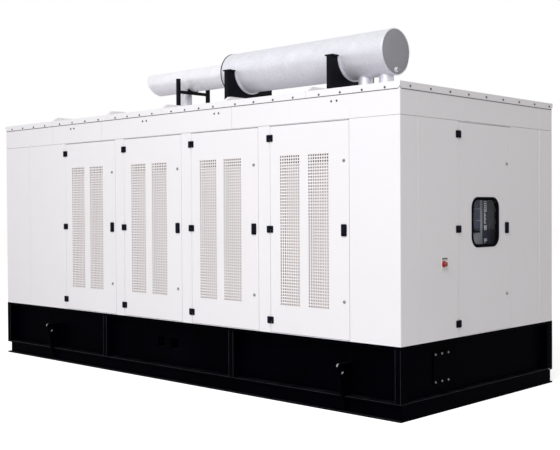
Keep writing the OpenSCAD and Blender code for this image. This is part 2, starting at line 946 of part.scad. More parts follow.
module window_glass() {
  color("slategray") at_window(glass_in) linear_extrude(glass_t) window_plan(gasket_w + seat);
}

module end_door_hardware() {
  color(hardware_black) in_control_end() {
    at_hinges() leaf_hinge();
    handle_and_locks(end_door_w);
  }
}

module door_1_leaf() { door_leaf(0); }
module door_1_vents() { door_vents(0); }
module door_1_hardware() { door_hardware(0); }
module door_2_leaf() { door_leaf(1); }
module door_2_vents() { door_vents(1); }
module door_2_hardware() { door_hardware(1); }
module door_3_leaf() { door_leaf(2); }
module door_3_vents() { door_vents(2); }
module door_3_hardware() { door_hardware(2); }
module door_4_leaf() { door_leaf(3); }
module door_4_vents() { door_vents(3); }
module door_4_hardware() { door_hardware(3); }

skid_rails();
skid_crossmembers();
base_tank();
base_top_flange();
base_ledge_plate();
base_posts();
lifting_lugs();
base_access_cover();
corner_panels();
radiator_side_panels();
door_posts();
fascia_corners();
long_fascias();
end_fascias();
control_end_panels();
radiator_end_panel();
radiator_end_vents();
rear_doors();
rear_vents();
rear_hardware();
roof_panels();
roof_ribs();
frame_hinges();
silencer_body();
silencer_end_cap();
tail_pipe();
tail_riser();
inlet_pipes();
silencer_saddles();
saddle_bands();
tail_pipe_stand();
control_cabinet();
control_devices();
stop_button_plate();
stop_button();
door_1_leaf();
door_1_vents();
door_1_hardware();
door_2_leaf();
door_2_vents();
door_2_hardware();
door_3_leaf();
door_3_vents();
door_3_hardware();
door_4_leaf();
door_4_vents();
door_4_hardware();
end_door_leaf();
end_door_hardware();
window_gasket();
window_glass();
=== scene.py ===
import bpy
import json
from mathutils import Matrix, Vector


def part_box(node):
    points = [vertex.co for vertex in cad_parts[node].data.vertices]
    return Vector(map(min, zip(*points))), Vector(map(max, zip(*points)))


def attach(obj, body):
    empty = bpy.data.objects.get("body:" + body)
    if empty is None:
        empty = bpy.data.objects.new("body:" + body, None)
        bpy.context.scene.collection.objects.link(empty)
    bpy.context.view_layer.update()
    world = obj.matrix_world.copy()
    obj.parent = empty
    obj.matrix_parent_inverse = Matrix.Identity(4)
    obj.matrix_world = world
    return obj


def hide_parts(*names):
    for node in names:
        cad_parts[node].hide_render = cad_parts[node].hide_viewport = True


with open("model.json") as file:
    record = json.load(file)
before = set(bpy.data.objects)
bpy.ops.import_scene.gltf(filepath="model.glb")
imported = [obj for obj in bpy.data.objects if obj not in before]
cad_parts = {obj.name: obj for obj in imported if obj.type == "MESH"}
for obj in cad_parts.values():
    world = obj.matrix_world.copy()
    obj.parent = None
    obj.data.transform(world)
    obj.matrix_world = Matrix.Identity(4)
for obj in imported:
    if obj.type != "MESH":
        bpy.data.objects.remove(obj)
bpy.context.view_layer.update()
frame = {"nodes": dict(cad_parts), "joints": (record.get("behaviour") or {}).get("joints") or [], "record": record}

import json
import math
from contextlib import contextmanager

import bmesh
import bpy
from bpy.props import FloatProperty, FloatVectorProperty, IntProperty, PointerProperty
from bpy.types import NodeSocket, Operator, Panel, PropertyGroup
from mathutils import Matrix, Vector

bl_info = {
    "name": "Sound-proofed generator set",
    "version": (1, 0, 0),
    "blender": (4, 5, 0),
    "location": "View3D > Sidebar > Generator set",
    "description": "Fittings, finishes and stage of a canopied generator set",
    "category": "Object",
}

HOUSING = "canopy_and_base"
LONG_DOORS = ("door_1", "door_2", "door_3", "door_4")
END_DOOR = "end_door"
DOORS = (*LONG_DOORS, END_DOOR)

# Turns about Z that make a fitting face out of each wall
DOOR_SIDE, CONTROL_END, FAR_SIDE, RADIATOR_END = 0.0, math.pi / 2, math.pi, -math.pi / 2

# Directions: out of the door side, out of the control end, and up
FRONT, ENDWARD, UP = (0, -1, 0), (1, 0, 0), (0, 0, 1)

# Clearance that keeps two touching rounds from sharing a face
PLAY = 0.0003


def length(name, description, default):
    return FloatProperty(name=name, description=description, default=default, unit="LENGTH", precision=4)


def colour(name, description, default):
    return FloatVectorProperty(
        name=name, description=description, default=default, subtype="COLOR", size=3, min=0.0, max=1.0
    )


class VentSizes(PropertyGroup):
    hole: length("Hole", "Width of one punched hole", 0.014)
    pitch: length("Pitch", "Distance from one hole to the next", 0.0244)
    sheet: length("Sheet", "Thickness of the punched sheet", 0.003)
    margin: length("Margin", "Plain edge past the last cell of holes", 0.0052)
    columns: IntProperty(name="Columns", description="Columns of holes in a sheet", default=9)
    rows: IntProperty(name="Rows", description="Rows of holes in a sheet", default=50)


class FittingSizes(PropertyGroup):
    hinge_width: length("Hinge width", "Width of a hinge over both plates", 0.070)
    hinge_height: length("Hinge height", "Height of a hinge", 0.057)
    hinge_plate: length("Hinge plate", "Thickness of a hinge plate", 0.006)
    hinge_reach: length("Hinge reach", "Distance from the pin to a plate's near edge", 0.010)
    hinge_run: length("Hinge run", "Running gap between the knuckles", 0.001)
    hinge_inset: length("Hinge inset", "Distance from a leaf's end to its outer hinges", 0.096)
    knuckle: length("Knuckle", "Radius of a hinge knuckle", 0.008)
    pin: length("Pin", "Radius of a hinge pin", 0.004)
    handle_width: length("Handle width", "Width of a door handle", 0.052)
    handle_height: length("Handle height", "Height of a door handle", 0.093)
    handle_depth: length("Handle depth", "Thickness of a handle's pan", 0.009)
    handle_inset: length("Handle inset", "Distance from a leaf's free edge to its handle", 0.050)
    end_handle_inset: length("End handle inset", "The same distance on the end door", 0.060)
    lock: length("Lock", "Radius of a quarter-turn lock", 0.013)
    lock_reach: length("Lock reach", "Distance from the middle of a pair of locks to each lock", 0.543)
    lock_drop: length("Lock drop", "Distance of that middle below the handle", 0.008)


class SeamSizes(PropertyGroup):
    gap: length("Gap", "Open gap that shows round a door", 0.003)
    end_gap: length("End gap", "Open gap that shows round the end door", 0.0012)
    head_gap: length("Head gap", "Open gap that shows above a door", 0.0045)
    end_head_gap: length("End head gap", "Open gap that shows above the end door", 0.0032)
    lip_depth: length("Lip depth", "Depth of the folded lip round a door opening", 0.003)
    seam: length("Seam", "Open seam between wall panels", 0.003)
    flange: length("Flange", "Depth of the roof's turned-down flange", 0.052)
    flange_cut: length("Flange cut", "Cut at the flange's lower corners", 0.018)
    # Width of the dark strip of painted shadow under the roof flange
    sealant: length("Sealant", "Width of the sealant under the roof flange", 0.006)


class SilencerSizes(PropertyGroup):
    radius: length("Radius", "Radius of the silencer's body", 0.204)
    bead: length("Bead", "Height of the rims at the body's ends", 0.004)
    ring: length("Ring", "Width of the rim ring at the tail end", 0.036)
    head_depth: length("Head depth", "Depth of the dished head", 0.025)
    tail_radius: length("Tail pipe", "Radius of the tail pipe", 0.121)
    tail_wall: length("Tail wall", "Wall of the tail pipe", 0.006)
    mitre: length("Mitre", "Overhang of the tail pipe's upper edge", 0.134)
    riser: length("Riser", "Radius of the pipe under the tail", 0.060)
    inlet: length("Inlet", "Radius of an inlet pipe", 0.067)
    band: length("Band", "Thickness of the bands in the saddles", 0.018)


class BaseSizes(PropertyGroup):
    # Width of a strip of painted highlight along the base's edges
    wear: length("Wear", "Width of a worn edge", 0.004)
    foot: length("Foot", "Thickness of the skid's foot flange", 0.012)
    post: length("Post", "Width of a corner post", 0.052)
    rib: length("Rib", "Distance of the ribs from the middle", 0.900)
    rib_width: length("Rib width", "Width of a rib", 0.052)
    lug: length("Lug", "Thickness of a lifting lug", 0.024)
    lug_tip: length("Lug tip", "Radius of a lug's rounded tip", 0.022)
    eye: length("Eye", "Radius of a lifting eye", 0.025)
    eye_inset: length("Eye inset", "Distance of an eye from its lug's tip", 0.047)
    eye_drop: length("Eye drop", "Distance of an eye below its lug's top", 0.060)


class BoltSizes(PropertyGroup):
    head: length("Head", "Radius of a bolt's hexagon head over its corners", 0.0068)
    head_height: length("Head height", "Height of a bolt's head", 0.0055)
    washer: length("Washer", "Radius of a washer", 0.0092)
    washer_height: length("Washer height", "Thickness of a washer", 0.0018)
    roof_inset: length("Roof inset", "Distance from a roof seam to the nearest flange bolt", 0.138)
    roof_drop: length("Roof drop", "Distance of the flange bolts below the roof", 0.038)
    pair: length("Pair", "Distance between the two bolts of a fascia pair", 0.055)


class FinishColours(PropertyGroup):
    canopy: colour("Canopy", "White powder coat", (0.86, 0.85, 0.872))
    lining: colour("Lining", "Sound-absorbing lining inside the canopy", (0.045, 0.046, 0.05))
    # Black enamel whose navy tint and heavy clouding paint in a sheen
    base: colour("Base", "Black enamel of the base", (0.0006, 0.0007, 0.0018))
    # Enamel lightened for the base's edges: painted highlights
    worn: colour("Worn edges", "Enamel rubbed bright on the base's edges", (0.016, 0.0165, 0.021))
    support: colour("Supports", "Black enamel of the silencer's supports", (0.003, 0.0034, 0.0065))
    silencer: colour("Silencer", "Silver heat-proof paint", (0.80, 0.80, 0.86))
    # Silver lightened for the tail pipe: painted reflection
    tail: colour("Tail pipe", "Newer silver of the tail pipe", (0.92, 0.92, 0.97))
    # Silver darkened for the silencer's end disc: painted shade
    end_disc: colour("End disc", "Duller silver of the silencer's end disc", (0.335, 0.335, 0.36))
    # The canopy white made warmer and darker for the punched sheets: painted shade
    vent: colour("Vents", "Thin coat of the punched sheets", (0.855, 0.82, 0.825))
    baffle: colour("Baffle", "Primer of the baffle pans behind the vents", (0.685, 0.60, 0.575))
    moulding: colour("Mouldings", "Moulded black of hinges and handles", (0.0085, 0.0088, 0.016))
    rubber: colour("Rubber", "Extruded rubber of the window gasket", (0.004, 0.0042, 0.0065))
    zinc: colour("Zinc", "Plated steel of locks and small bolts", (0.34, 0.34, 0.35))
    bolt: colour("Bolts", "Darkened steel of the roof bolts", (0.12, 0.12, 0.13))
    # Grey of the control cabinet, darkened to paint in the shade inside the canopy
    cabinet: colour("Cabinet", "Light grey of the control cabinet", (0.36, 0.355, 0.36))
    device: colour("Devices", "Dark moulded housings in the cabinet", (0.048, 0.054, 0.090))
    terminal: colour("Terminals", "White terminal blocks in the cabinet", (0.96, 0.96, 0.95))
    # Grey of the strip of painted shadow under the roof flange, also used on the stop plate's top strip
    sealant: colour("Sealant", "Grey sealant under the roof flange", (0.16, 0.155, 0.16))
    stop: colour("Stop button", "Red of the stop button", (0.34, 0.012, 0.014))
    stop_plate: colour("Stop plate", "Pale plate of the stop button", (0.78, 0.76, 0.72))
    floor: colour("Floor", "Pale studio floor", (0.8, 0.8, 0.8))


# Working in object and edit mode


def only(*pieces):
    """Selects these pieces alone, the last one active."""
    bpy.ops.object.select_all(action="DESELECT")
    for piece in pieces:
        piece.select_set(True)
    bpy.context.view_layer.objects.active = pieces[-1]


@contextmanager
def editing(piece, kind="FACE", whole=False):
    """Edit mode on one piece, with nothing or the whole of it selected at the start."""
    only(piece)
    bpy.ops.object.mode_set(mode="EDIT")
    bpy.ops.mesh.select_mode(type=kind)
    bpy.ops.mesh.select_all(action="SELECT" if whole else "DESELECT")
    yield
    bpy.ops.object.mode_set(mode="OBJECT")


def pick(piece, test, kind="faces"):
    """Selects the faces or edges of a piece in edit mode that pass a test."""
    mesh = bmesh.from_edit_mesh(piece.data)
    mesh.normal_update()
    for item in getattr(mesh, kind):
        item.select_set(False)
    for item in getattr(mesh, kind):
        if test(item):
            item.select_set(True)
    mesh.select_flush_mode()
    bmesh.update_edit_mesh(piece.data)


def settle(name, piece=None):
    """Names a piece, the active one unless another is given, and puts its place into its mesh."""
    piece = piece or bpy.context.active_object
    only(piece)
    bpy.ops.object.transform_apply(location=True, rotation=True, scale=True)
    piece.name = piece.data.name = name
    return piece


def apply_modifier(piece, kind, **settings):
    only(piece)
    change = piece.modifiers.new(kind.title(), kind)
    for key, value in settings.items():
        setattr(change, key, value)
    bpy.ops.object.modifier_apply(modifier=change.name)


def discard(*pieces):
    only(*pieces)
    bpy.ops.object.delete()


def clean(piece):
    """Merges doubles, and turns the faces outwards."""
    with editing(piece, "VERT", whole=True):
        bpy.ops.mesh.remove_doubles(threshold=0.00002)
        bpy.ops.mesh.normals_make_consistent(inside=False)
    return piece


def copy_to(source, place, turn):
    """A copy of a piece with its own mesh, moved from the origin and turned about Z."""
    only(source)
    bpy.ops.object.duplicate(linked=False)
    made = bpy.context.active_object
    made.location = place
    made.rotation_euler.z = turn
    return made


def joined(name, pieces):
    only(*pieces)
    bpy.ops.object.join()
    return settle(name)


def repeated(name, source, places):
    """Copies of a piece at each place and turn, joined into one piece."""
    return joined(name, [copy_to(source, place, turn) for place, turn in places])


def dress(piece, finish, body=HOUSING, slot=None, nodes=()):
    """Gives a piece its shading, finish and body, and hides the solids that it stands for; slot is not used."""
    only(piece)
    bpy.ops.object.shade_smooth_by_angle(angle=math.radians(32))
    piece.data.materials.clear()
    piece.data.materials.append(bpy.data.materials[finish])
    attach(piece, body)
    if nodes:
        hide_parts(*nodes)


# Shapes


def primitive(kind, name, stretch=None, **settings):
    """Starts a piece from a primitive, with its place in its mesh."""
    bpy.ops.object.select_all(action="DESELECT")
    getattr(bpy.ops.mesh, f"primitive_{kind}_add")(**settings)
    if stretch:
        bpy.context.active_object.scale = stretch
    return settle(name)


def block(name, low, high):
    low, high = Vector(low), Vector(high)
    return primitive("cube", name, size=1.0, location=(low + high) / 2, scale=high - low)


def soften(piece, width, segments=2):
    limit = math.radians(40)
    apply_modifier(
        piece, "BEVEL", width=width, segments=segments, limit_method="ANGLE", angle_limit=limit
    )
    return piece


def plate(name, low, high, axis, corner, edge, test=lambda middle: True):
    """A block with its corners rounded about one axis, and all its edges softened."""
    piece = block(name, low, high)

    def is_corner(bar):
        a, b = (v.co for v in bar.verts)
        return abs((b - a).normalized()[axis]) > 0.9 and test((a + b) / 2)

    with editing(piece, "EDGE"):
        pick(piece, is_corner, "edges")
        bpy.ops.mesh.bevel(offset=corner, segments=5, affect="EDGES")
    return soften(piece, edge)


def lathe(name, base, direction, rings, segments, closed=True):
    """A round piece: a circle extruded along a direction, from ring to ring (distance, radius)."""
    base, direction = Vector(base), Vector(direction).normalized()
    start, radius = rings[0]
    piece = primitive(
        "circle",
        name,
        vertices=segments,
        radius=radius,
        fill_type="NOTHING",
        location=base + direction * start,
        rotation=direction.to_track_quat("Z", "Y").to_euler(),
    )
    with editing(piece, "EDGE", whole=True):
        for (d0, r0), (d1, r1) in zip(rings, rings[1:]):
            bpy.ops.mesh.extrude_edges_move(TRANSFORM_OT_translate={"value": direction * (d1 - d0)})
            grow = r1 / r0
            bpy.ops.transform.resize(value=(grow, grow, grow), center_override=base + direction * d1)
        if closed:
            bpy.ops.mesh.select_all(action="SELECT")
            bpy.ops.mesh.fill_holes(sides=0)
    return clean(piece)


def hoop(name, middle, half_width, inner, outer, segments):
    """A ring about an axis along X, with a rectangular section."""
    rings = [(-half_width, inner), (-half_width, outer), (half_width, outer), (half_width, inner)]
    return lathe(name, middle, ENDWARD, rings + rings[:1], segments, closed=False)


def cut_away(piece, place, normal):
    """Cuts off the part of a piece that lies past a plane."""
    with editing(piece, whole=True):
        bpy.ops.mesh.bisect(plane_co=place, plane_no=normal, clear_outer=True, use_fill=True)
    return clean(piece)


def raised_panel(piece, normal, steps):
    """Insets the largest face that looks along a normal, by steps of (margin, height)."""
    normal = Vector(normal)
    with editing(piece):
        mesh = bmesh.from_edit_mesh(piece.data)
        facing = [f for f in mesh.faces if f.normal.dot(normal) > 0.99]
        widest = max(f.calc_area() for f in facing)
        pick(piece, lambda f: f.normal.dot(normal) > 0.99 and f.calc_area() > widest * 0.999)
        for margin, height in steps:
            bpy.ops.mesh.inset(thickness=margin, depth=height)
    return piece


def screw(name, place, out, radius):
    """Screw head with a round recess, standing just proud of its plate."""
    rise, root = 0.0009, 0.001
    rings = [(-root, radius), (rise * 2 / 3, radius), (rise, radius * 0.85)]
    rings += [(rise, radius * 0.5), (-rise * 2 / 3, radius * 0.4)]
    return lathe(name, place, out, rings, 12)


def toward(axis, size):
    step = Vector((0, 0, 0))
    step[axis] = size
    return step


def on_wall(across, along, face, height):
    """A place on an upright wall that runs along X (across 0) or along Y (across 1)."""
    return (face, along, height) if across else (along, face, height)


def strip(name, wall, start, end, width, rise, sunk):
    """A bar on an upright wall between two places, each along the wall and by its height.

    A wall is the axis that it runs along (0 or 1), the side that it faces (-1 or 1) and its place.
    The bar stands out of the wall by its rise, and is sunk into it.
    """
    across, side, face = wall
    start, end = (Vector(on_wall(across, along, face, height)) for along, height in (start, end))
    normal = toward(1 - across, side)
    along = end - start
    aside = normal.cross(along).normalized()
    piece = block(name, (-0.5, -0.5, -0.5), (0.5, 0.5, 0.5))
    axes = Matrix((along, aside * width, normal * (rise + sunk))).transposed().to_4x4()
    piece.matrix_world = Matrix.Translation((start + end) / 2 + normal * (rise - sunk) / 2) @ axes
    settle(name, piece)
    return soften(clean(piece), min(width, rise + sunk) * 0.25)


# Finishes: shared effects as node groups, then one material each


def add(tree, kind, sockets=None, **settings):
    made = tree.nodes.new("ShaderNode" + kind)
    for key, value in settings.items():
        setattr(made, key, value)
    for key, value in (sockets or {}).items():
        if isinstance(value, NodeSocket):
            tree.links.new(value, made.inputs[key])
        else:
            made.inputs[key].default_value = value
    return made


def calc(tree, operation, a, b=0.0):
    return add(tree, "Math", {0: a, 1: b}, operation=operation).outputs[0]


def product(tree, first, *others):
    for factor in others:
        first = calc(tree, "MULTIPLY", first, factor)
    return first


def remap(tree, value, start, end, low=0.0, high=1.0):
    """Spreads a value between a start and an end to a range from low to high."""
    sockets = {"Value": value, "From Min": start, "From Max": end, "To Min": low, "To Max": high}
    return add(tree, "MapRange", sockets).outputs["Result"]


def noise(tree, place, scale, detail, roughness=0.5):
    sockets = {"Vector": place, "Scale": scale, "Detail": detail, "Roughness": roughness}
    return add(tree, "TexNoise", sockets).outputs["Fac"]


def split(tree, vector):
    return add(tree, "SeparateXYZ", {0: vector}).outputs


def blend(tree, factor, a, b):
    return add(tree, "Mix", {0: factor, 6: a, 7: b}, data_type="RGBA").outputs[2]


def shade(tone, share):
    return (*(channel * share for channel in tone), 1.0)


def group(name, inputs, outputs):
    """A new node group: its tree, and the sockets that it is given and gives back."""
    tree = bpy.data.node_groups.new(name, "ShaderNodeTree")
    for label, default in inputs.items():
        socket = tree.interface.new_socket(label, in_out="INPUT", socket_type="NodeSocketFloat")
        socket.default_value = default
    for label in outputs:
        tree.interface.new_socket(label, in_out="OUTPUT", socket_type="NodeSocketFloat")
    return tree, tree.nodes.new("NodeGroupInput").outputs, tree.nodes.new("NodeGroupOutput").inputs


def use_group(tree, name, **values):
    made = tree.nodes.new("ShaderNodeGroup")
    made.node_tree = bpy.data.node_groups[name]
    for key, value in values.items():
        made.inputs[key.replace("_", " ").capitalize()].default_value = value
    return made.outputs


def coat_group():
    """Clouded tone, speckle and fine grain of a sprayed or moulded surface."""
    inputs = {"Cloud scale": 1.3, "Speckle scale": 60.0, "Grain scale": 420.0}
    tree, given, result = group("sprayed_coat", inputs, ["Cloud", "Speckle", "Grain"])
    place = add(tree, "TexCoord").outputs["Object"]
    for output, detail in (("Cloud", 5.0), ("Speckle", 3.0), ("Grain", 2.0)):
        pattern = noise(tree, place, given[output + " scale"], detail, 0.55)
        tree.links.new(remap(tree, pattern, 0.3, 0.7), result[output])


def dust_group():
    """Dust that settles on faces that look up, and splashes low down."""
    inputs = {"Settled": 0.5, "Splash": 0.2, "Splash height": 0.5}
    tree, given, result = group("settled_dust", inputs, ["Mask"])
    coords = add(tree, "TexCoord").outputs
    upward = remap(tree, split(tree, coords["Normal"])["Z"], 0.3, 0.95)
    low = remap(tree, split(tree, coords["Object"])["Z"], given["Splash height"], 0.0)
    patches = remap(tree, noise(tree, coords["Object"], 7.0, 6.0, 0.65), 0.35, 0.75)
    settled = product(tree, upward, given["Settled"])
    splash = product(tree, low, low, given["Splash"])
    tree.links.new(product(tree, calc(tree, "MAXIMUM", settled, splash), patches), result["Mask"])


def lining_group():
    """Masks of the faces that look into the canopy, which are lined, and of the baffle pans."""
    inputs = {
        "Wall half length": 2.6,
        "Wall half width": 1.04,
        "Baffle half width": 1.08,
        "Roof half length": 2.65,
        "Roof half width": 1.085,
        "Roof height": 2.4,
    }
    squarely = 0.5
    tree, given, result = group("inner_lining", inputs, ["Mask", "Baffle"])
    coords = add(tree, "TexCoord").outputs
    place, facing = split(tree, coords["Object"]), split(tree, coords["Normal"])
    away = {axis: calc(tree, "ABSOLUTE", place[axis]) for axis in "XY"}
    outward = {axis: product(tree, calc(tree, "SIGN", place[axis]), facing[axis]) for axis in "XY"}
    walls = []
    for axis, limit in (("X", "Wall half length"), ("Y", "Wall half width")):
        inward = calc(tree, "LESS_THAN", outward[axis], -squarely)
        walls.append(product(tree, inward, calc(tree, "GREATER_THAN", away[axis], given[limit])))
    ceiling = product(
        tree,
        calc(tree, "LESS_THAN", away["X"], given["Roof half length"]),
        calc(tree, "LESS_THAN", away["Y"], given["Roof half width"]),
        calc(tree, "LESS_THAN", facing["Z"], -squarely),
        calc(tree, "GREATER_THAN", place["Z"], given["Roof height"]),
    )
    lined = calc(tree, "MAXIMUM", calc(tree, "MAXIMUM", *walls), ceiling)
    tree.links.new(lined, result["Mask"])
    pans = calc(tree, "GREATER_THAN", outward["Y"], squarely)
    behind = calc(tree, "LESS_THAN", away["Y"], given["Baffle half width"])
    tree.links.new(product(tree, pans, behind), result["Baffle"])


def new_finish(name):
    material = bpy.data.materials.new(name)
    material.use_nodes = True
    tree = material.node_tree
    return tree, tree.nodes["Principled BSDF"].inputs


def coated(
    name, tone, cloud=0.03, cloud_scale=1.3, speckle=0.0, rough=(0.35, 0.45), grain=(420.0, 0.00005),
    metallic=0.0, specular=0.5, coat=0.0, dust=None, dust_tone=(0.36, 0.34, 0.31), lining=None, baffle=None,
):
    """A sprayed, plated or moulded finish: clouded tone and fine grain, with dust and lining if asked for.

    rough is the range of the roughness. grain is the scale and depth of the grain. dust is its share on
    top, its share low down and the height that it splashes to.
    """
    tree, surface = new_finish(name)
    pattern = use_group(tree, "sprayed_coat", cloud_scale=cloud_scale, grain_scale=grain[0])
    tone_out = blend(tree, pattern["Cloud"], shade(tone, 1.0 - cloud), shade(tone, 1.0 + cloud))
    if speckle:
        tone_out = blend(tree, product(tree, pattern["Speckle"], speckle), tone_out, shade(tone, 0.6))
    rough_out = remap(tree, pattern["Cloud"], 0.0, 1.0, *rough)
    if dust:
        mask = use_group(tree, "settled_dust", settled=dust[0], splash=dust[1], splash_height=dust[2])["Mask"]
        tone_out = blend(tree, mask, tone_out, (*dust_tone, 1.0))
        rough_out = calc(tree, "MAXIMUM", rough_out, product(tree, mask, 0.9))
    if lining:
        inside = use_group(tree, "inner_lining")
        primer = blend(tree, pattern["Cloud"], shade(baffle, 0.92), shade(baffle, 1.08))
        foam = blend(tree, pattern["Speckle"], shade(lining, 0.7), shade(lining, 1.3))
        tone_out = blend(tree, inside["Baffle"], tone_out, primer)
        tone_out = blend(tree, inside["Mask"], tone_out, foam)
        rough_out = calc(tree, "MAXIMUM", rough_out, product(tree, inside["Mask"], 0.95))
    bump = add(tree, "Bump", {"Height": pattern["Grain"], "Distance": grain[1], "Strength": 1.0})
    tree.links.new(tone_out, surface["Base Color"])
    tree.links.new(rough_out, surface["Roughness"])
    tree.links.new(bump.outputs["Normal"], surface["Normal"])
    surface["Metallic"].default_value = metallic
    surface["Specular IOR Level"].default_value = specular
    surface["Coat Weight"].default_value = coat


def glazed(name):
    """Clear pane with a little dirt in its roughness."""
    tree, surface = new_finish(name)
    cloud = use_group(tree, "sprayed_coat", cloud_scale=9.0)["Cloud"]
    tint = blend(tree, cloud, (0.90, 0.93, 0.98, 1.0), (0.94, 0.96, 1.0, 1.0))
    tree.links.new(remap(tree, cloud, 0.0, 1.0, 0.005, 0.03), surface["Roughness"])
    tree.links.new(tint, surface["Base Color"])
    surface["Transmission Weight"].default_value = 1.0
    surface["IOR"].default_value = 1.13


# How the finishes differ from a plain coat: name, colour, settings
FINISHES = (
    # Warmer, darker copy of the canopy white for the punched sheets: painted shade
    ("vent_coat", "vent", dict(cloud=0.02, rough=(0.4, 0.5), grain=(330.0, 0.00004), specular=0.3)),
    # Navy tint and heavy clouding of the black enamel: painted sheen
    ("base_enamel", "base", dict(cloud=0.7, cloud_scale=3.0, speckle=0.25, rough=(0.34, 0.5),
        grain=(240.0, 0.0001), specular=0.006, dust=(0.10, 0.004, 0.2), dust_tone=(0.12, 0.12, 0.13))),
    # Lighter enamel for painted highlights along the base's edges
    ("worn_enamel", "worn", dict(cloud=0.6, cloud_scale=9.0, rough=(0.4, 0.5), specular=0.1)),
    ("support_enamel", "support", dict(cloud=0.25, rough=(0.38, 0.5), grain=(260.0, 0.0001),
        specular=0.08, dust=(0.08, 0.0, 0.5), dust_tone=(0.2, 0.2, 0.2))),
    ("silencer_paint", "silencer", dict(cloud=0.04, cloud_scale=9.0, speckle=0.30, rough=(0.38, 0.5),
        grain=(160.0, 0.0002), metallic=0.4, dust=(0.06, 0.0, 0.5))),
    # Lighter copy of the silencer silver for the tail pipe: painted reflection
    ("tail_pipe_paint", "tail", dict(cloud=0.04, cloud_scale=9.0, speckle=0.15, rough=(0.34, 0.46),
        grain=(160.0, 0.0002), metallic=0.4)),
    # Darker copy of the silencer silver for the end disc: painted shade
    ("end_disc_paint", "end_disc", dict(cloud=0.08, speckle=0.15, rough=(0.5, 0.6), metallic=0.2,
        specular=0.3)),
    ("moulded_black", "moulding", dict(cloud=0.2, rough=(0.42, 0.52), grain=(900.0, 0.00004),
        specular=0.015)),
    ("extruded_rubber", "rubber", dict(cloud=0.2, rough=(0.5, 0.65), grain=(700.0, 0.00003), specular=0.008)),
    ("reveal_trim", "rubber", dict(cloud=0.08, rough=(0.5, 0.6), grain=(700.0, 0.00006), specular=0.1)),
    ("plated_zinc", "zinc", dict(cloud=0.1, speckle=0.2, rough=(0.3, 0.45), grain=(600.0, 0.00005),
        metallic=0.7)),
    ("dark_bolt", "bolt", dict(cloud=0.2, speckle=0.3, rough=(0.4, 0.55), grain=(600.0, 0.00005),
        metallic=0.4)),
    # Grey of the painted shadow under the roof flange, also used on the stop plate's top strip
    ("sealant_grey", "sealant", dict(cloud=0.15, rough=(0.55, 0.7), grain=(500.0, 0.0001), specular=0.2)),
    # Cabinet grey darkened for painted shade inside the canopy
    ("cabinet_paint", "cabinet", dict(rough=(0.4, 0.5), grain=(500.0, 0.00004))),
    ("device_housing", "device", dict(cloud=0.08, rough=(0.45, 0.55), grain=(800.0, 0.00006), specular=0.06)),
    ("terminal_white", "terminal", dict(rough=(0.4, 0.5), grain=(800.0, 0.00005))),
    ("stop_moulding", "stop", dict(cloud=0.06, rough=(0.24, 0.32), grain=(800.0, 0.00002), coat=0.2)),
    ("stop_plate_paint", "stop_plate", dict(cloud=0.04, rough=(0.4, 0.5), grain=(600.0, 0.00005))),
)

# Which finish the solids of each record slot take
SLOT_FINISHES = {
    "canopy_white": "canopy_powder_coat",
    "base_black": "base_enamel",
    "silencer_silver": "silencer_paint",
    "support_black": "support_enamel",
    "hardware_black": "moulded_black",
    "gasket_rubber": "extruded_rubber",
    "window_glass": "window_pane",
    "cabinet_grey": "cabinet_paint",
    "device_dark": "device_housing",
    "stop_red": "stop_moulding",
    "stop_plate": "stop_plate_paint",
}


class GENSET_OT_finishes(Operator):
    """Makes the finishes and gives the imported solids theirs"""

    bl_idname = "genset.finishes"
    bl_label = "Finishes"

    def execute(self, context):
        tones = context.scene.genset_colours
        coat_group()
        dust_group()
        lining_group()
        coated(
            "canopy_powder_coat", tones.canopy, cloud=0.012, rough=(0.36, 0.46), grain=(330.0, 0.00004),
            specular=0.4, dust=(0.16, 0.0, 0.5), lining=tones.lining, baffle=tones.baffle,
        )
        for name, tone, settings in FINISHES:
            coated(name, getattr(tones, tone), **settings)
        glazed("window_pane")
        for part in frame["record"]["subparts"]:
            solid = frame["nodes"][part["node"]]
            solid.data.materials.clear()
            solid.data.materials.append(bpy.data.materials[SLOT_FINISHES[part["material_slot"]]])
        return {"FINISHED"}


# Vents


def punched_sheet(vents):
    """One vent sheet, its lower left corner at the origin and its face towards -Y."""
    pitch, margin = vents.pitch, vents.margin
    middle, near = margin + pitch / 2, pitch * 0.01
    piece = primitive(
        "plane", "punched_sheet", size=pitch, location=(middle, 0, middle), rotation=(math.pi / 2, 0, 0)
    )
    with editing(piece, whole=True):
        bpy.ops.mesh.inset(thickness=(pitch - vents.hole) / 2)
        bpy.ops.mesh.delete(type="FACE")
    for axis, count in ((0, vents.columns), (2, vents.rows)):
        apply_modifier(
            piece, "ARRAY", count=count, use_relative_offset=False, use_constant_offset=True,
            constant_offset_displace=toward(axis, pitch), use_merge_vertices=True, merge_threshold=near,
        )
    for axis, side in ((0, -1), (0, 1), (2, -1), (2, 1)):
        edge = max(side * v.co[axis] for v in piece.data.vertices) - near
        step = {"value": toward(axis, side * margin)}
        with editing(piece, "EDGE"):
            pick(piece, lambda bar: all(side * v.co[axis] > edge for v in bar.verts), "edges")
            bpy.ops.mesh.extrude_edges_move(TRANSFORM_OT_translate=step)
    apply_modifier(piece, "SOLIDIFY", thickness=vents.sheet, offset=-1.0)
    return clean(piece)


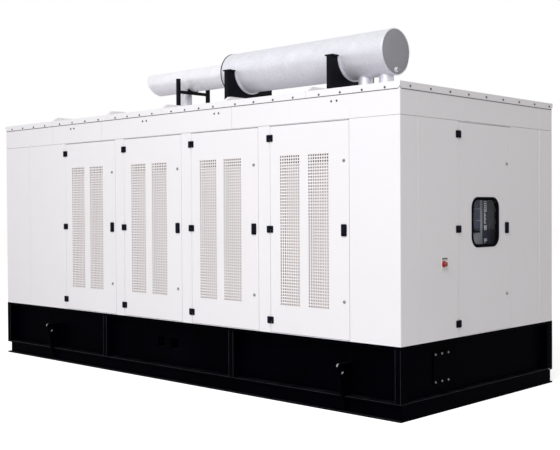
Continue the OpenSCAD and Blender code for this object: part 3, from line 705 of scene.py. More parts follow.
class GENSET_OT_punched_sheets(Operator):
    """Punched vent sheets of the doors and of the radiator end"""

    bl_idname = "genset.punched_sheets"
    bl_label = "Punched sheets"

    def execute(self, context):
        vents = context.scene.genset_vents
        width = vents.columns * vents.pitch + 2 * vents.margin
        master = punched_sheet(vents)
        far_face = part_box("rear_vents")[1].y
        far_places = []
        for door in LONG_DOORS:
            low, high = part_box(door + "_vents")
            lefts = (low.x, high.x - width)
            places = [((x, low.y, low.z), DOOR_SIDE) for x in lefts]
            sheets = repeated(door + "_punched_sheets", master, places)
            dress(sheets, "vent_coat", door, "canopy_white", [door + "_vents"])
            far_places += [((x + width, far_face, low.z), FAR_SIDE) for x in lefts]
        low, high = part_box("radiator_end_vents")
        end_places = [((low.x, y, low.z), RADIATOR_END) for y in (low.y + width, high.y)]
        for wall, places in (("rear", far_places), ("radiator_end", end_places)):
            sheets = repeated(wall + "_punched_sheets", master, places)
            dress(sheets, "vent_coat", slot="canopy_white", nodes=[wall + "_vents"])
        discard(master)
        return {"FINISHED"}


# Hinges, handles and locks


def hinge_half(name, sizes, side):
    """Half of a hinge about its pin at the origin, wall towards +Y: side -1 on the frame, 1 on the leaf."""
    half_w, half_h, knuckle = sizes.hinge_width / 2, sizes.hinge_height / 2, sizes.knuckle
    corner, edge, web_edge, screw_radius = 0.007, 0.0012, 0.0008, 0.0045
    wall = knuckle + sizes.hinge_run
    front = wall - sizes.hinge_plate
    near, far = sorted((side * sizes.hinge_reach, side * half_w))
    leaf = plate(
        name, (near, front, -half_h), (far, wall, half_h), 1, corner, edge,
        lambda middle: abs(middle.x) > half_w - 0.001,
    )
    z0, z1 = sorted((side * sizes.hinge_run / 2, side * half_h))
    x0, x1 = sorted((0.0, side * sizes.hinge_reach))
    web = soften(block(name + "_web", (x0, front, z0), (x1, wall, z1)), web_edge)
    tall, end = z1 - z0, knuckle * 0.82
    rings = [(0, end), (edge, knuckle), (tall - edge, knuckle), (tall, end)]
    pieces = [web, lathe(name + "_knuckle", (0, 0, z0), UP, rings, 24)]
    middle = side * (sizes.hinge_reach + half_w) / 2
    for height in (-0.55 * half_h, 0.55 * half_h):
        pieces.append(screw(name + "_screw", (middle, front, height), FRONT, screw_radius))
    if side < 0:
        rings = [(0, sizes.pin), (2 * half_h, sizes.pin)]
        pieces.append(lathe(name + "_pin", (0, 0, -half_h), UP, rings, 16))
    return joined(name, [*pieces, leaf])


def handle(sizes):
    """Paddle handle in its pan, at the origin and facing -Y."""
    half_w, half_h, depth = sizes.handle_width / 2, sizes.handle_height / 2, sizes.handle_depth
    corner, edge, lift, slope, seat = 0.008, 0.0015, 0.006, 0.0055, 0.004
    pan = plate("handle", (-half_w, -depth, -half_h), (half_w, 0, half_h), 1, corner, edge)
    raised_panel(pan, FRONT, [(0.004, 0.0), (0.0012, -0.0035)])
    paddle_w, paddle_h = half_w * 0.6, half_h * 0.66
    low = (-paddle_w, -depth - lift, -paddle_h)
    paddle = block("handle_paddle", low, (paddle_w, -depth * 0.5, paddle_h))
    with editing(paddle, "EDGE"):
        pick(paddle, lambda bar: all(v.co.y < -depth and v.co.z > 0 for v in bar.verts), "edges")
        bpy.ops.transform.translate(value=(0, slope, 0))
    soften(paddle, 0.002, 3)
    rings = [(0, 0.0058), (0.0042, 0.0058), (0.0048, 0.005), (0.0048, 0.002), (0.003, 0.0016)]
    barrel = lathe("handle_barrel", (0, seat - depth, half_h * 0.78), FRONT, rings, 20)
    return joined("handle", [paddle, barrel, pan])


def quarter_turn(sizes):
    """Quarter-turn lock with a square driver in its recess, at the origin and facing -Y."""
    radius, half = sizes.lock, sizes.lock * 0.2
    shares = [(0, 1.0), (0.003, 1.0), (0.005, 0.9), (0.005, 0.72)]
    shares += [(0.0082, 0.66), (0.009, 0.58), (0.009, 0.44), (0.003, 0.40)]
    body = lathe("quarter_turn", (0, 0, 0), FRONT, [(rise, radius * share) for rise, share in shares], 28)
    driver = soften(block("driver", (-half, -0.008, -half), (half, -0.002, half)), 0.0006)
    return joined("quarter_turn", [driver, body])


def leaf_places(door):
    """Faces of a leaf: hinge edge, free edge, outer face, bottom and top."""
    low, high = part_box(door + "_leaf")
    if door == END_DOOR:
        return low.y, high.y, high.x, low.z, high.z
    return low.x, high.x, low.y, low.z, high.z


class GENSET_OT_fittings(Operator):
    """Hinges, paddle handles and quarter-turn locks of the doors"""

    bl_idname = "genset.fittings"
    bl_label = "Hinges, handles and locks"

    def execute(self, context):
        sizes = context.scene.genset_fittings
        frame_half, leaf_half = hinge_half("frame_hinge", sizes, -1), hinge_half("leaf_hinge", sizes, 1)
        paddle, lock = handle(sizes), quarter_turn(sizes)
        far_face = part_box("rear_doors")[1].y
        far_pin = far_face + sizes.knuckle + sizes.hinge_run
        frame_places, far_hinges, far_handles, far_locks = [], [], [], []
        for door in DOORS:
            end = door == END_DOOR
            turn = CONTROL_END if end else DOOR_SIDE
            _, last, face, bottom, top = leaf_places(door)
            middle = (bottom + top) / 2
            along = last - (sizes.end_handle_inset if end else sizes.handle_inset)
            hinge_heights = (bottom + sizes.hinge_inset, middle, top - sizes.hinge_inset)
            lock_heights = [middle - sizes.lock_drop + side * sizes.lock_reach for side in (-1, 1)]
            pin_x, pin_y, _ = next(joint["pos_m"] for joint in frame["joints"] if joint["child"] == door)
            hinges = [((pin_x, pin_y, z), turn) for z in hinge_heights]
            frame_places += hinges
            pieces = [copy_to(leaf_half, *place) for place in hinges]
            pieces.append(copy_to(paddle, on_wall(end, along, face, middle), turn))
            fitted = joined(door + "_hinges_and_handle", pieces)
            dress(fitted, "moulded_black", door, "hardware_black", [door + "_hardware"])
            locks = [(on_wall(end, along, face, z), turn) for z in lock_heights]
            dress(repeated(door + "_locks", lock, locks), "plated_zinc", door)
            if not end:
                far_hinges += [((pin_x, far_pin, z), FAR_SIDE) for z in hinge_heights]
                far_handles.append(((along, far_face, middle), FAR_SIDE))
                far_locks += [((along, far_face, z), FAR_SIDE) for z in lock_heights]
        fixed = repeated("frame_hinge_halves", frame_half, frame_places)
        dress(fixed, "moulded_black", slot="hardware_black", nodes=["frame_hinges"])
        pieces = [copy_to(half, *place) for half in (frame_half, leaf_half) for place in far_hinges]
        pieces += [copy_to(paddle, *place) for place in far_handles]
        far = joined("rear_hinges_and_handles", pieces)
        dress(far, "moulded_black", slot="hardware_black", nodes=["rear_hardware"])
        dress(repeated("rear_locks", lock, far_locks), "plated_zinc")
        discard(frame_half, leaf_half, paddle, lock)
        return {"FINISHED"}


# Seams


class GENSET_OT_seams(Operator):
    """Folded lips round the door openings, seam beads along the panel seams, and a dark strip of painted shadow
    under the roof flange
    """

    bl_idname = "genset.seams"
    bl_label = "Lips and sealant"

    def execute(self, context):
        sizes = context.scene.genset_seams
        seam, sealant, cut = sizes.seam, sizes.sealant, sizes.flange_cut
        bead, fascia_bead, bead_root, flange_shadow_rise = 0.0012, 0.0008, 0.001, 0.002
        sill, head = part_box("base_top_flange")[1].z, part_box("long_fascias")[0].z
        lips = []
        for door in DOORS:
            first, last, face, bottom, top = leaf_places(door)
            end = door == END_DOOR
            wall = (1, 1, face) if end else (0, -1, face)
            gap = bottom - sill
            lip = gap - (sizes.end_gap if end else sizes.gap)
            crown = head - top - (sizes.end_head_gap if end else sizes.head_gap)
            left, right = first - gap, last + gap
            lines = [((x, sill), (x, head), lip) for x in (left + lip / 2, right - lip / 2)]
            lines.append(((left, sill + lip / 2), (right, sill + lip / 2), lip))
            lines.append(((left + lip, head - crown / 2), (right - lip, head - crown / 2), crown))
            lips += [strip("lip", wall, a, b, width, 0.0, sizes.lip_depth) for a, b, width in lines]
        dress(joined("door_opening_lips", lips), "canopy_powder_coat", slot="canopy_white")

        low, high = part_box("corner_panels")
        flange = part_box("roof_panels")[1].z - sizes.flange
        runs = (
            ("control_end_panels", 1, sill, head, bead),
            ("end_fascias", 1, head + 2 * seam, flange - sealant, fascia_bead),
            ("long_fascias", 0, head + 2 * seam, flange - sealant, fascia_bead),
        )
        beads = []
        for panels, across, bottom, top, rise in runs:
            start, end = (corner[across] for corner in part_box(panels))
            for along in (start - seam / 2, end + seam / 2):
                for side, corner in ((1, high), (-1, low)):
                    wall = (across, side, corner[1 - across])
                    ends = (along, bottom), (along, top)
                    beads.append(strip("bead", wall, *ends, 2 * seam, rise, bead_root))
        dress(joined("panel_seam_sealant", beads), "canopy_powder_coat", slot="canopy_white")

        # Dark strips along the roof flange's lower edge and cut corners: painted shadow
        lines = []
        for across in (0, 1):
            reach = high[across]
            corners = ((-reach, cut), (cut - reach, 0.0), (reach - cut, 0.0), (reach, cut))
            spots = [(along, flange - sealant / 2 + rise) for along, rise in corners]
            for side in (-1, 1):
                wall = (across, side, side * high[1 - across])
                for ends in zip(spots, spots[1:]):
                    lines.append(strip("sealant", wall, *ends, sealant, flange_shadow_rise, 0.0))
        dress(joined("roof_flange_sealant", lines), "sealant_grey")
        return {"FINISHED"}


# Window, cabinet and stop button

# Section of the gasket from its outer edge inwards: steps of (width, rise)
GASKET_STEPS = (
    (0.0015, 0.004), (0.0025, 0.0018), (0.0050, 0.0), (0.0008, -0.003), (0.0030, 0.0),
    (0.0008, 0.003), (0.0060, 0.0), (0.0030, -0.002), (0.0014, -0.0038),
)


class GENSET_OT_window(Operator):
    """Rubber gasket of the window, with its locking strip"""

    bl_idname = "genset.window"
    bl_label = "Window gasket"

    def execute(self, context):
        low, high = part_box("window_gasket")
        back, face = (corner.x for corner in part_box("end_door_leaf"))
        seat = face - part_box("window_glass")[0].x
        corner_radius = 0.09
        gasket = primitive(
            "plane",
            "window_gasket_ring",
            stretch=(high.y - low.y, high.z - low.z, 1.0),
            size=1.0,
            location=(face, (low.y + high.y) / 2, (low.z + high.z) / 2),
            rotation=(math.pi / 2, 0, math.pi / 2),
        )
        with editing(gasket, "VERT", whole=True):
            bpy.ops.mesh.bevel(offset=corner_radius, segments=12, affect="VERTICES")
        with editing(gasket, whole=True):
            for margin, rise in GASKET_STEPS:
                bpy.ops.mesh.inset(thickness=margin, depth=rise, use_even_offset=True)
            for depth in (seat, face - back - seat):
                bpy.ops.mesh.extrude_region_move(TRANSFORM_OT_translate={"value": (-depth, 0, 0)})
            bpy.ops.mesh.delete(type="FACE")
        with editing(gasket, "EDGE"):
            pick(gasket, lambda bar: bar.is_boundary, "edges")
            bpy.ops.mesh.bridge_edge_loops()
        clean(gasket)
        dress(gasket, "extruded_rubber", END_DOOR, "gasket_rubber", ["window_gasket"])
        gasket.data.materials.append(bpy.data.materials["reveal_trim"])
        for side in gasket.data.polygons:
            if side.center.x < face - seat:
                side.material_index = 1
        return {"FINISHED"}


# Front of the control cabinet: places across it, heights above the ground, and depths
CASE_WIDTH, CASE_DEPTH = 0.084, 0.036
CASES = ((1.389, 1.465), (1.470, 1.5594), (1.5647, 1.6799))
COVER_FOOT, COVER_TOP = 1.366, 1.387
BREAKER_LOW, BREAKER_TOP, BREAKER_DEPTH = (0.2258, 1.2), 1.69, 0.034
LOUVRE_SPAN, LOUVRE_START, LOUVRE_PITCH, LOUVRE_HEIGHT = (0.248, 0.322), 1.288, 0.009, 0.006
RAIL_LOW, RAIL_HIGH, RAIL_DEPTH = (0.1648, 1.2396), (0.2204, 1.6996), 0.012
# Faces of its housings: softened edge, then steps of (margin, height)
CASE_FACE = 0.003, [(0.008, 0.0), (0.0015, -0.003), (0.010, 0.0), (0.001, 0.004)]
COVER_FACE = 0.002, [(0.003, 0.0), (0.001, -0.002)]
BREAKER_FACE = 0.004, [(0.010, 0.0), (0.002, -0.003), (0.004, 0.0), (0.002, 0.004)]
RAIL_FACE = 0.002, [(0.006, 0.0), (0.0012, -0.004)]
TERMINAL_FACE = 0.0012, [(0.003, 0.0), (0.001, -0.0015)]
# Terminals: size and seat, then runs of (top, pitch, count) for the pairs and the zigzag row
TERMINAL_SIZE, TERMINAL_SEAT = Vector((0.006, 0.017, 0.0116)), 0.008
PAIR_COLUMNS, ZIGZAG_COLUMNS = (0.1790, 0.2040), (0.1805, 0.1875)
PAIR_RUNS = ((1.6229, 0.0158, 6), (1.4187, 0.0135, 3), (1.3101, 0.0135, 2))
ZIGZAG_RUN, SINGLE_HEIGHT = (1.5225, 0.0155, 6), 1.2831


def housing(name, low, high, face):
    """A block with softened edges and a stepped panel in the face that looks out of the control end."""
    edge, steps = face
    return raised_panel(soften(block(name, low, high), edge), ENDWARD, steps)


def heights(top, pitch, count):
    return [top - i * pitch for i in range(count)]


class GENSET_OT_control_panel(Operator):
    """Devices, terminals and breaker panel on the control cabinet's front"""

    bl_idname = "genset.control_panel"
    bl_label = "Control panel"

    def execute(self, context):
        low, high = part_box("control_devices")
        back, left, right = low.x, low.y, low.y + CASE_WIDTH
        front = back + CASE_DEPTH
        screw_start, screw_pitch, screw_height, screw_radius = 0.011, 0.0205, 0.007, 0.0042
        cases = []
        for foot, top in CASES:
            cases.append(housing("case", (back, left, foot), (front, right, top), CASE_FACE))
            for i in range(4):
                place = (front + 0.0002, left + screw_start + i * screw_pitch, foot + screw_height)
                cases.append(screw("case_screw", place, ENDWARD, screw_radius))
        dress(joined("device_cases", cases), "device_housing", slot="device_dark", nodes=["control_devices"])
        cover = housing("device_cover", (back, left, COVER_FOOT), (front, right, COVER_TOP), COVER_FACE)
        dress(cover, "moulded_black", slot="hardware_black")
        front = back + BREAKER_DEPTH
        panel = housing("breaker_panel", (back, *BREAKER_LOW), (front, high.y, BREAKER_TOP), BREAKER_FACE)
        dress(panel, "device_housing", slot="device_dark")
        louvres = []
        for z in heights(LOUVRE_START, -LOUVRE_PITCH, 4):
            near = (front - 0.001, LOUVRE_SPAN[0], z)
            far = (front + 0.0045, LOUVRE_SPAN[1], z + LOUVRE_HEIGHT)
            louvres.append(soften(block("louvre", near, far), 0.001))
        dress(joined("breaker_panel_louvres", louvres), "moulded_black", slot="hardware_black")
        rail = housing("terminal_rail", (back, *RAIL_LOW), (back + RAIL_DEPTH, *RAIL_HIGH), RAIL_FACE)
        dress(rail, "device_housing", slot="device_dark")

        corner = Vector((0, TERMINAL_SIZE.y / 2, TERMINAL_SIZE.z / 2))
        terminal = housing("terminal", -corner, TERMINAL_SIZE - corner, TERMINAL_FACE)
        spots = [(y, z) for run in PAIR_RUNS for z in heights(*run) for y in PAIR_COLUMNS]
        spots.append((PAIR_COLUMNS[0], SINGLE_HEIGHT))
        spots += [(ZIGZAG_COLUMNS[i % 2], z) for i, z in enumerate(heights(*ZIGZAG_RUN))]
        places = [((back + TERMINAL_SEAT, y, z), 0.0) for y, z in spots]
        dress(repeated("terminal_blocks", terminal, places), "terminal_white")
        discard(terminal)
        return {"FINISHED"}


# Stop button: rings of its collar and mushroom head
STOP_COLLAR = [(0, 0.024), (0.004, 0.024), (0.006, 0.0225), (0.006, 0.016), (0.012, 0.0145), (0.012, 0.008)]
STOP_MUSHROOM = [
    (0.010, 0.012), (0.013, 0.0135), (0.0145, 0.0185), (0.017, 0.020), (0.021, 0.0196),
    (0.0245, 0.0178), (0.0268, 0.014), (0.028, 0.008), (0.028, 0.002),
]


class GENSET_OT_stop_station(Operator):
    """Plate, collar and mushroom head of the stop button"""

    bl_idname = "genset.stop_station"
    bl_label = "Stop button"

    def execute(self, context):
        low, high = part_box("stop_button_plate")
        back = plate("stop_back_plate", low, high, 0, 0.008, 0.0012)
        raised_panel(back, ENDWARD, [(0.005, 0.0), (0.001, -0.0012)])
        dress(back, "stop_plate_paint", slot="stop_plate", nodes=["stop_button_plate"])
        # The top strip takes the grey of the painted shadow under the roof flange
        root, rise, left, right, drop, height = 0.001, 0.002, 0.006, 0.002, 0.003, 0.010
        near = (high.x - root, low.y + left, high.z - drop - height)
        far = (high.x + rise, high.y - right, high.z - drop)
        dress(plate("stop_top_strip", near, far, 0, 0.002, 0.0006), "sealant_grey", slot="hardware_black")
        low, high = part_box("stop_button")
        middle, aside = (low + high) / 2, 0.010
        base = (low.x, middle.y - aside, middle.z)
        collar = lathe("stop_collar", base, ENDWARD, STOP_COLLAR, 32)
        dress(collar, "stop_moulding", slot="stop_red")
        button = lathe("stop_mushroom", base, ENDWARD, STOP_MUSHROOM, 32)
        dress(button, "stop_moulding", slot="stop_red", nodes=["stop_button"])
        return {"FINISHED"}


# Silencer and its pipes


def silencer_axis():
    low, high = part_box("silencer_body")
    return (low.y + high.y) / 2, (low.z + high.z) / 2


class GENSET_OT_silencer(Operator):
    """Silencer body with its dished head, and its end cap with the drain"""

    bl_idname = "genset.silencer"
    bl_label = "Silencer"

    def execute(self, context):
        sizes = context.scene.genset_silencer
        y, z = silencer_axis()
        low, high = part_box("silencer_body")
        cap_low, cap_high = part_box("silencer_end_cap")
        radius, bead, depth = sizes.radius, sizes.bead, sizes.head_depth
        rim = radius - bead
        sphere_back = (rim**2 - sizes.tail_radius**2 - depth**2) / (2 * depth)
        sphere = math.hypot(sphere_back, rim)
        steps = 12
        rings = []
        for i in range(steps + 1):
            x = depth * i / steps
            rings.append((x, math.sqrt(sphere**2 - (sphere_back + depth - x) ** 2)))
        ring, crest = depth + sizes.ring, radius + bead
        rings += [(depth, radius + bead * 0.6), (depth + bead * 0.4, crest), (depth + bead * 2, crest)]
        rings += [(depth + bead * 2.4, rim), (ring - bead * 2.4, rim), (ring - bead * 2, crest)]
        rings += [(ring - bead * 0.4, crest), (ring, radius + bead * 0.4), (ring + bead, radius)]
        rings.append((high.x - low.x, radius))
        body = lathe("silencer_shell", (low.x, y, z), ENDWARD, rings, 96)
        dress(body, "silencer_paint", slot="silencer_silver", nodes=["silencer_body"])
        # Dark ring round the body just behind the head: painted shadow between the head and the body
        inset, half, rise = 0.005, 0.004, 0.001
        joint = hoop("silencer_joint", (low.x + depth + inset, y, z), half, radius, crest + rise, 96)
        dress(joint, "support_enamel", slot="support_black")

        thick, drain, flange_root = 0.016, z - 0.160, 0.004
        rings = [(0, radius), (0.001, radius + bead * 0.7), (0.003, crest), (0.005, crest)]
        rings += [(0.007, radius + bead * 0.7), (0.008, radius), (thick - 0.002, radius)]
        rings += [(thick, radius - 0.002), (thick, radius - 0.006), (thick - 0.005, radius - 0.008)]
        cap = lathe("silencer_cap_rim", (cap_low.x, y, z), ENDWARD, rings, 96)
        edge = radius - 0.009
        rings = [(-0.006, edge), (-0.0035, edge), (-0.003, edge - 0.001), (-0.003, radius * 0.5)]
        face = cap_low.x + thick
        disc = lathe("silencer_end_disc", (face, y, z), ENDWARD, rings, 96)
        # The end disc takes the darker silver of painted shade
        dress(disc, "end_disc_paint", slot="silencer_silver")
        rings = [(0, 0.024), (0.012, 0.024), (0.014, 0.022), (0.014, 0.0145), (0.022, 0.0135)]
        flange = lathe("drain_flange", (face - flange_root, y, drain), ENDWARD, rings, 28)
        capped = joined("silencer_cap", [flange, cap])
        dress(capped, "silencer_paint", slot="silencer_silver", nodes=["silencer_end_cap"])
        end = cap_high.x - face
        rings = [(0.016, 0.011), (end - 0.016, 0.011), (end - 0.016, 0.013)]
        rings += [(end - 0.001, 0.013), (end, 0.012)]
        dress(lathe("drain_nipple", (face, y, drain), ENDWARD, rings, 24), "plated_zinc")
        return {"FINISHED"}


COLLAR = 0.014  # how far a roof collar stands out past its pipe


def roof_pipe(name, x, radius, body_radius):
    """Upright pipe from a collar of two flanges on the roof to the underside of a round body."""
    y, z = silencer_axis()
    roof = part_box("tail_riser")[0].z
    rim = radius + COLLAR
    rings = [(0, rim), (0.013, rim), (0.014, rim - 0.001), (0.014, rim - 0.002), (0.015, rim - 0.001)]
    rings += [(0.027, rim - 0.001), (0.028, rim - 0.002), (0.028, radius + 0.004)]
    rings += [(0.031, radius + 0.001), (0.034, radius), (z - roof, radius)]
    pipe = lathe(name, (x, y, roof), UP, rings, 48)
    reach, bore = 0.2, body_radius + PLAY
    cutter = lathe("cutter", (x - reach, y, z), ENDWARD, [(0, bore), (2 * reach, bore)], 96)
    apply_modifier(pipe, "BOOLEAN", operation="DIFFERENCE", object=cutter, solver="EXACT")
    discard(cutter)
    return clean(pipe)


class GENSET_OT_pipes(Operator):
    """Tail pipe, riser, inlet pipes, the bands in the saddles and the cradle of the tail pipe"""

    bl_idname = "genset.pipes"
    bl_label = "Exhaust pipes"

    def execute(self, context):
        sizes = context.scene.genset_silencer
        radius, tail_radius = sizes.radius, sizes.tail_radius
        y, z = silencer_axis()
        silver = {"finish": "silencer_paint", "slot": "silencer_silver"}

        low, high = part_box("tail_pipe")
        entry, seam_inset, seam_half, seam_root, seam_rise = 0.012, 0.006, 0.004, 0.002, 0.004
        rings = [(0, tail_radius), (high.x - low.x + entry, tail_radius)]
        tail = lathe("tail_pipe_tube", (low.x, y, z), ENDWARD, rings, 72, closed=False)
        with editing(tail, whole=True):
            mitre = {"plane_co": (low.x, y, z + tail_radius), "plane_no": (2 * tail_radius, 0, sizes.mitre)}
            bpy.ops.mesh.bisect(**mitre, clear_inner=True, use_fill=False)
        clean(tail)
        apply_modifier(tail, "SOLIDIFY", thickness=sizes.tail_wall, offset=-1.0)
        inner, outer = tail_radius - seam_root, tail_radius + seam_rise
        seam = hoop("tail_seam", (high.x - seam_inset, y, z), seam_half, inner, outer, 72)
        tube = joined("tail_pipe_tube", [seam, tail])
        dress(tube, "tail_pipe_paint", slot="silencer_silver", nodes=["tail_pipe"])

        low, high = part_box("tail_riser")
        riser = roof_pipe("tail_riser_pipe", (low.x + high.x) / 2, sizes.riser, tail_radius)
        dress(riser, **silver, nodes=["tail_riser"])
        low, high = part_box("inlet_pipes")
        half = sizes.inlet + COLLAR
        inlets = [roof_pipe("inlet_pipe", x, sizes.inlet, radius) for x in (low.x + half, high.x - half)]
        dress(joined("inlet_pipe_pair", inlets), **silver, nodes=["inlet_pipes"])

        low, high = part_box("saddle_bands")
        half = 0.035
        bands = []
        for x in (low.x + half, high.x - half):
            band = hoop("band", (x, y, z), half, radius + PLAY, radius + sizes.band - PLAY, 96)
            bands.append(soften(cut_away(band, (x, y, z), UP), 0.0015))
        dress(joined("saddle_half_bands", bands), **silver, nodes=["saddle_bands"])
        low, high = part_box("tail_pipe_stand")
        x, half, thick, drop = (low.x + high.x) / 2, 0.020, 0.008, tail_radius * 0.85
        cradle = hoop("tail_cradle", (x, y, z), half, tail_radius + PLAY, tail_radius + thick, 72)
        cut_away(cradle, (x, y, z - drop), UP)
        dress(soften(cradle, 0.0008), "support_enamel", slot="support_black")
        return {"FINISHED"}


# Base


class GENSET_OT_base_edges(Operator):
    """Painted highlights: lighter strips along the base's edges, and bright patches on the tips and bores of the
    lifting lugs
    """

    bl_idname = "genset.base_edges"
    # The lighter edges are painted highlights
    bl_label = "Worn edges"

    def execute(self, context):
        sizes = context.scene.genset_base
        # Lighter strips along the ledge, foot, posts and ribs: painted highlights
        low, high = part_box("base_posts")
        wide, rise, root = sizes.wear, 0.0005, 0.001
        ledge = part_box("base_ledge_plate")[1].z - wide / 2
        foot = sizes.foot - wide / 2
        posts = [side * (high.x - inset) for side in (-1, 1) for inset in (wide, sizes.post)]
        ribs = [side * sizes.rib + part * sizes.rib_width / 2 for side in (-1, 1) for part in (-1, 1)]
        lines = []
        for wall in ((0, -1, low.y), (0, 1, high.y)):
            lines += [(wall, (low.x, height), (high.x, height)) for height in (ledge, foot)]
            lines += [(wall, (x, low.z), (x, high.z)) for x in (*posts, *ribs)]
        for wall in ((1, -1, low.x), (1, 1, high.x)):
            lines.append((wall, (low.y, ledge), (high.y, ledge)))
        edges = [strip("edge", *line, wide, rise, root) for line in lines]
        dress(joined("base_worn_edges", edges), "worn_enamel", slot="base_black")

        # Bright zinc patches on the upper outer part of each lug's tip and the lower part of each eye's bore:
        # painted highlights
        low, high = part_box("lifting_lugs")
        z = high.z - sizes.eye_drop
        tip, half, eye = sizes.lug_tip, sizes.lug / 2, sizes.eye
        bore_margin, bore_highlight_depth, tip_margin = 0.004, 0.001, 0.005
        worn = []
        for x in (low.x + half, high.x - half):
            for edge, side in ((low.y, 1), (high.y, -1)):
                y = edge + side * sizes.eye_inset
                bore = hoop("bore", (x, y, z), half - bore_margin, eye - bore_highlight_depth, eye + PLAY, 32)
                worn.append(cut_away(bore, (x, y, z - eye / 3), UP))
                middle = (x, edge + side * tip, high.z - tip)
                rim = hoop("tip", middle, half - tip_margin, tip - rise, tip + rise, 48)
                cut_away(rim, middle, (0, 0, -1))
                worn.append(cut_away(rim, middle, (0, side, 0)))
        dress(joined("lifting_lug_wear", worn), "plated_zinc")
        return {"FINISHED"}


# Bolts

ROOF_SEAMS = (-0.66, -0.31, 0.0, 0.31, 0.66)  # shares of the canopy's half length
FASCIA_PAIRS = (-1.423, -0.254, 0.738, 2.072)  # places of the bolt pairs along the canopy


def hex_bolt(sizes):
    """A hexagon bolt on a washer, at the origin and facing -Y."""
    head, washer, lift = sizes.head, sizes.washer, sizes.washer_height
    top = lift + sizes.head_height
    rings = [(0, washer), (lift * 0.7, washer), (lift, washer * 0.93)]
    ring = lathe("washer", (0, 0, 0), FRONT, rings, 14)
    rings = [(lift, head), (top - head * 0.12, head), (top, head * 0.82)]
    return joined("bolt", [ring, lathe("bolt", (0, 0, 0), FRONT, rings, 6)])


class GENSET_OT_bolts(Operator):
    """Bolts of the roof flanges, fascias, base cover and silencer supports"""

    bl_idname = "genset.bolts"
    bl_label = "Bolts"

    def execute(self, context):
        sizes = context.scene.genset_bolts
        bolt = hex_bolt(sizes)

        low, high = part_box("roof_panels")
        height = high.z - sizes.roof_drop
        wall_low, wall_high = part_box("corner_panels")
        half = (wall_high.x - wall_low.x) / 2
        edges = [-high.x, *(share * half for share in ROOF_SEAMS), high.x]
        flange = []
        for start, end in zip(edges, edges[1:]):
            first, last = start + sizes.roof_inset, end - sizes.roof_inset
            for i in range(4):
                x = first + (last - first) * i / 3
                flange += [((x, low.y, height), DOOR_SIDE), ((x, high.y, height), FAR_SIDE)]
        end_start, end_pitch, end_height = -1.013, 0.261, height + 0.008
        for i in range(9):
            y = end_start + end_pitch * i
            flange += [((high.x, y, end_height), CONTROL_END), ((low.x, y, end_height), RADIATOR_END)]
        dress(repeated("roof_flange_bolts", bolt, flange), "dark_bolt")

        low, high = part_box("long_fascias")
        pair_height = 2.401
        pairs = []
        for x in (middle + side * sizes.pair / 2 for middle in FASCIA_PAIRS for side in (-1, 1)):
            pairs += [((x, low.y, pair_height), DOOR_SIDE), ((x, high.y, pair_height), FAR_SIDE)]
        dress(repeated("fascia_bolts", bolt, pairs), "dark_bolt")

        low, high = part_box("base_access_cover")
        across, inset = 0.022, 0.018
        rows = (low.y + across, (low.y + high.y) / 2, high.y - across)
        cover = [((high.x, y, z), CONTROL_END) for y in rows for z in (low.z + inset, high.z - inset)]
        corner, ledge_inset, ledge_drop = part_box("base_ledge_plate")[1], 0.060, 0.007
        cover.append(((corner.x, corner.y - ledge_inset, corner.z - ledge_drop), CONTROL_END))
        dress(repeated("access_cover_bolts", bolt, cover), "plated_zinc")

        bolt.rotation_euler.x = -math.pi / 2
        upright = settle("upright_bolt", bolt)
        low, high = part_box("silencer_saddles")
        axis_y, _ = silencer_axis()
        middle, reach, aside, foot_reach, foot = 0.045, 0.272, 0.022, 0.328, 0.016
        tops = []
        for x in (low.x + middle, high.x - middle):
            for side in (-1, 1):
                tops += [(x + offset, axis_y + side * reach, high.z) for offset in (-aside, aside)]
                tops.append((x, axis_y + side * foot_reach, low.z + foot))
        low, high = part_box("tail_pipe_stand")
        inset, foot = 0.010, 0.012
        for x in (low.x + inset, high.x - inset):
            tops += [(x, y, low.z + foot) for y in (low.y + inset, high.y - inset)]
        dress(repeated("support_bolts", upright, [(place, 0.0) for place in tops]), "plated_zinc")
        discard(upright)
        return {"FINISHED"}


# Stage


def key_light(place, target, size, power):
    lamp = bpy.data.lights.new("key", "AREA")
    lamp.shape = "RECTANGLE"
    lamp.size, lamp.size_y = size
    lamp.energy = power
    lamp.color = (0.985, 0.99, 1.0)
    holder = bpy.data.objects.new("key", lamp)
    bpy.context.scene.collection.objects.link(holder)
    holder.location = place
    holder.rotation_euler = (Vector(target) - Vector(place)).to_track_quat("-Z", "Y").to_euler()


def studio_world():
    """Soft light on the object, and plain white for the camera, gloss and glass."""
    world = bpy.data.worlds.new("studio_white")
    bpy.context.scene.world = world
    world.use_nodes = True
    tree = world.node_tree
    tree.nodes.clear()
    path = add(tree, "LightPath").outputs
    seen = calc(tree, "MAXIMUM", path["Is Camera Ray"], path["Is Glossy Ray"])
    seen = calc(tree, "MAXIMUM", seen, path["Is Transmission Ray"])
    light = add(tree, "Background", {"Color": (1.0, 0.965, 0.955, 1.0), "Strength": 0.41}).outputs[0]
    white = add(tree, "Background", {"Color": (1.0, 1.0, 1.0, 1.0), "Strength": 1.0}).outputs[0]
    mixed = add(tree, "MixShader", {0: seen, 1: light, 2: white}).outputs[0]
    add(tree, "OutputWorld", {"Surface": mixed})


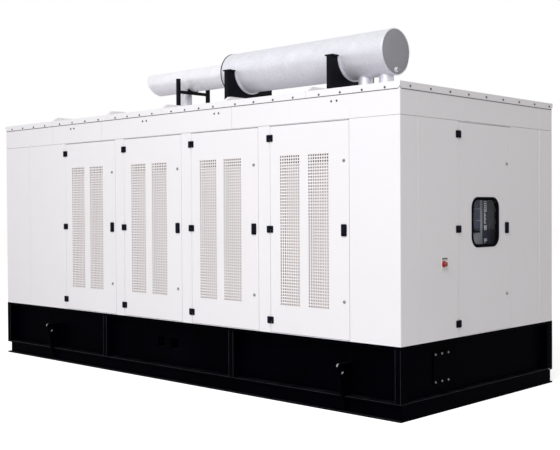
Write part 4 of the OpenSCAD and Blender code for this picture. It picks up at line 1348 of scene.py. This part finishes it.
def studio_floor(tone):
    """Pale floor that shows as white to the camera and keeps the object's shadow."""
    floor = primitive("plane", "studio_floor", size=120.0, location=(0, 0, -0.001))
    material = bpy.data.materials.new("studio_floor")
    material.use_nodes = True
    tree = material.node_tree
    tree.nodes.clear()
    pattern = noise(tree, add(tree, "TexCoord").outputs["Object"], 0.6, 3.0)
    tint = blend(tree, pattern, shade(tone, 0.985), shade(tone, 1.015))
    matte = add(tree, "BsdfDiffuse", {"Color": tint}).outputs[0]
    lift = product(tree, add(tree, "LightPath").outputs["Is Camera Ray"], 0.66)
    glow = add(tree, "Emission", {"Color": (1.0, 1.0, 1.0, 1.0), "Strength": lift}).outputs[0]
    both = add(tree, "AddShader", {0: matte, 1: glow}).outputs[0]
    add(tree, "OutputMaterial", {"Surface": both})
    floor.data.materials.append(material)


def photo_camera():
    """Camera at the photograph's place and angle."""
    image_width, focal_length, sensor = 560.0, 971.8, 36.0
    place = (6.945, -6.863, 1.566)
    yaw, pitch, roll = (math.radians(angle) for angle in (43.6, -0.91, -0.32))
    level = math.cos(pitch)
    forward = Vector((-math.sin(yaw) * level, math.cos(yaw) * level, math.sin(pitch)))
    right = Vector((math.cos(yaw), math.sin(yaw), 0.0))
    above = right.cross(forward)
    across = right * math.cos(roll) + above * math.sin(roll)
    upright = above * math.cos(roll) - right * math.sin(roll)
    data = bpy.data.cameras.new("photo_camera")
    data.sensor_width = sensor
    data.lens = sensor * focal_length / image_width
    data.clip_end = 300.0
    camera = bpy.data.objects.new("photo_camera", data)
    bpy.context.scene.collection.objects.link(camera)
    axes = Matrix((across, upright, -forward)).transposed()
    camera.matrix_world = Matrix.Translation(place) @ axes.to_4x4()
    bpy.context.scene.camera = camera


class GENSET_OT_stage(Operator):
    """Pale floor, soft studio light, white background and camera"""

    bl_idname = "genset.stage"
    bl_label = "Stage"

    def execute(self, context):
        context.scene.view_settings.view_transform = "Standard"
        studio_world()
        studio_floor(context.scene.genset_colours.floor)
        key_light(place=(4.4, -10.6, 9.5), target=(0.4, -1.0, 1.5), size=(7.0, 8.5), power=1268.0)
        photo_camera()
        return {"FINISHED"}


class GENSET_PT_sidebar(Panel):
    """Steps and sizes of the generator set"""

    bl_idname = "GENSET_PT_sidebar"
    bl_label = "Generator set"
    bl_space_type = "VIEW_3D"
    bl_region_type = "UI"
    bl_category = "Generator set"

    def draw(self, context):
        for step in STEPS:
            self.layout.operator(step.bl_idname)
        for name in SETTINGS:
            box = self.layout.box()
            settings = getattr(context.scene, name)
            for key in settings.__annotations__:
                box.prop(settings, key)


SETTINGS = {
    "genset_colours": FinishColours,
    "genset_vents": VentSizes,
    "genset_fittings": FittingSizes,
    "genset_seams": SeamSizes,
    "genset_silencer": SilencerSizes,
    "genset_base": BaseSizes,
    "genset_bolts": BoltSizes,
}
STEPS = (
    GENSET_OT_finishes,
    GENSET_OT_punched_sheets,
    GENSET_OT_fittings,
    GENSET_OT_seams,
    GENSET_OT_window,
    GENSET_OT_control_panel,
    GENSET_OT_stop_station,
    GENSET_OT_silencer,
    GENSET_OT_pipes,
    GENSET_OT_base_edges,
    GENSET_OT_bolts,
    GENSET_OT_stage,
)


def register():
    for kind in (*SETTINGS.values(), *STEPS, GENSET_PT_sidebar):
        bpy.utils.register_class(kind)
    for name, kind in SETTINGS.items():
        setattr(bpy.types.Scene, name, PointerProperty(type=kind))


def unregister():
    for name in SETTINGS:
        delattr(bpy.types.Scene, name)
    for kind in (GENSET_PT_sidebar, *reversed(STEPS), *SETTINGS.values()):
        bpy.utils.unregister_class(kind)


def main():
    register()
    bpy.ops.genset.finishes()
    bpy.ops.genset.punched_sheets()
    bpy.ops.genset.fittings()
    bpy.ops.genset.seams()
    bpy.ops.genset.window()
    bpy.ops.genset.control_panel()
    bpy.ops.genset.stop_station()
    bpy.ops.genset.silencer()
    bpy.ops.genset.pipes()
    bpy.ops.genset.base_edges()
    bpy.ops.genset.bolts()
    bpy.ops.genset.stage()


if __name__ == "__main__":
    main()
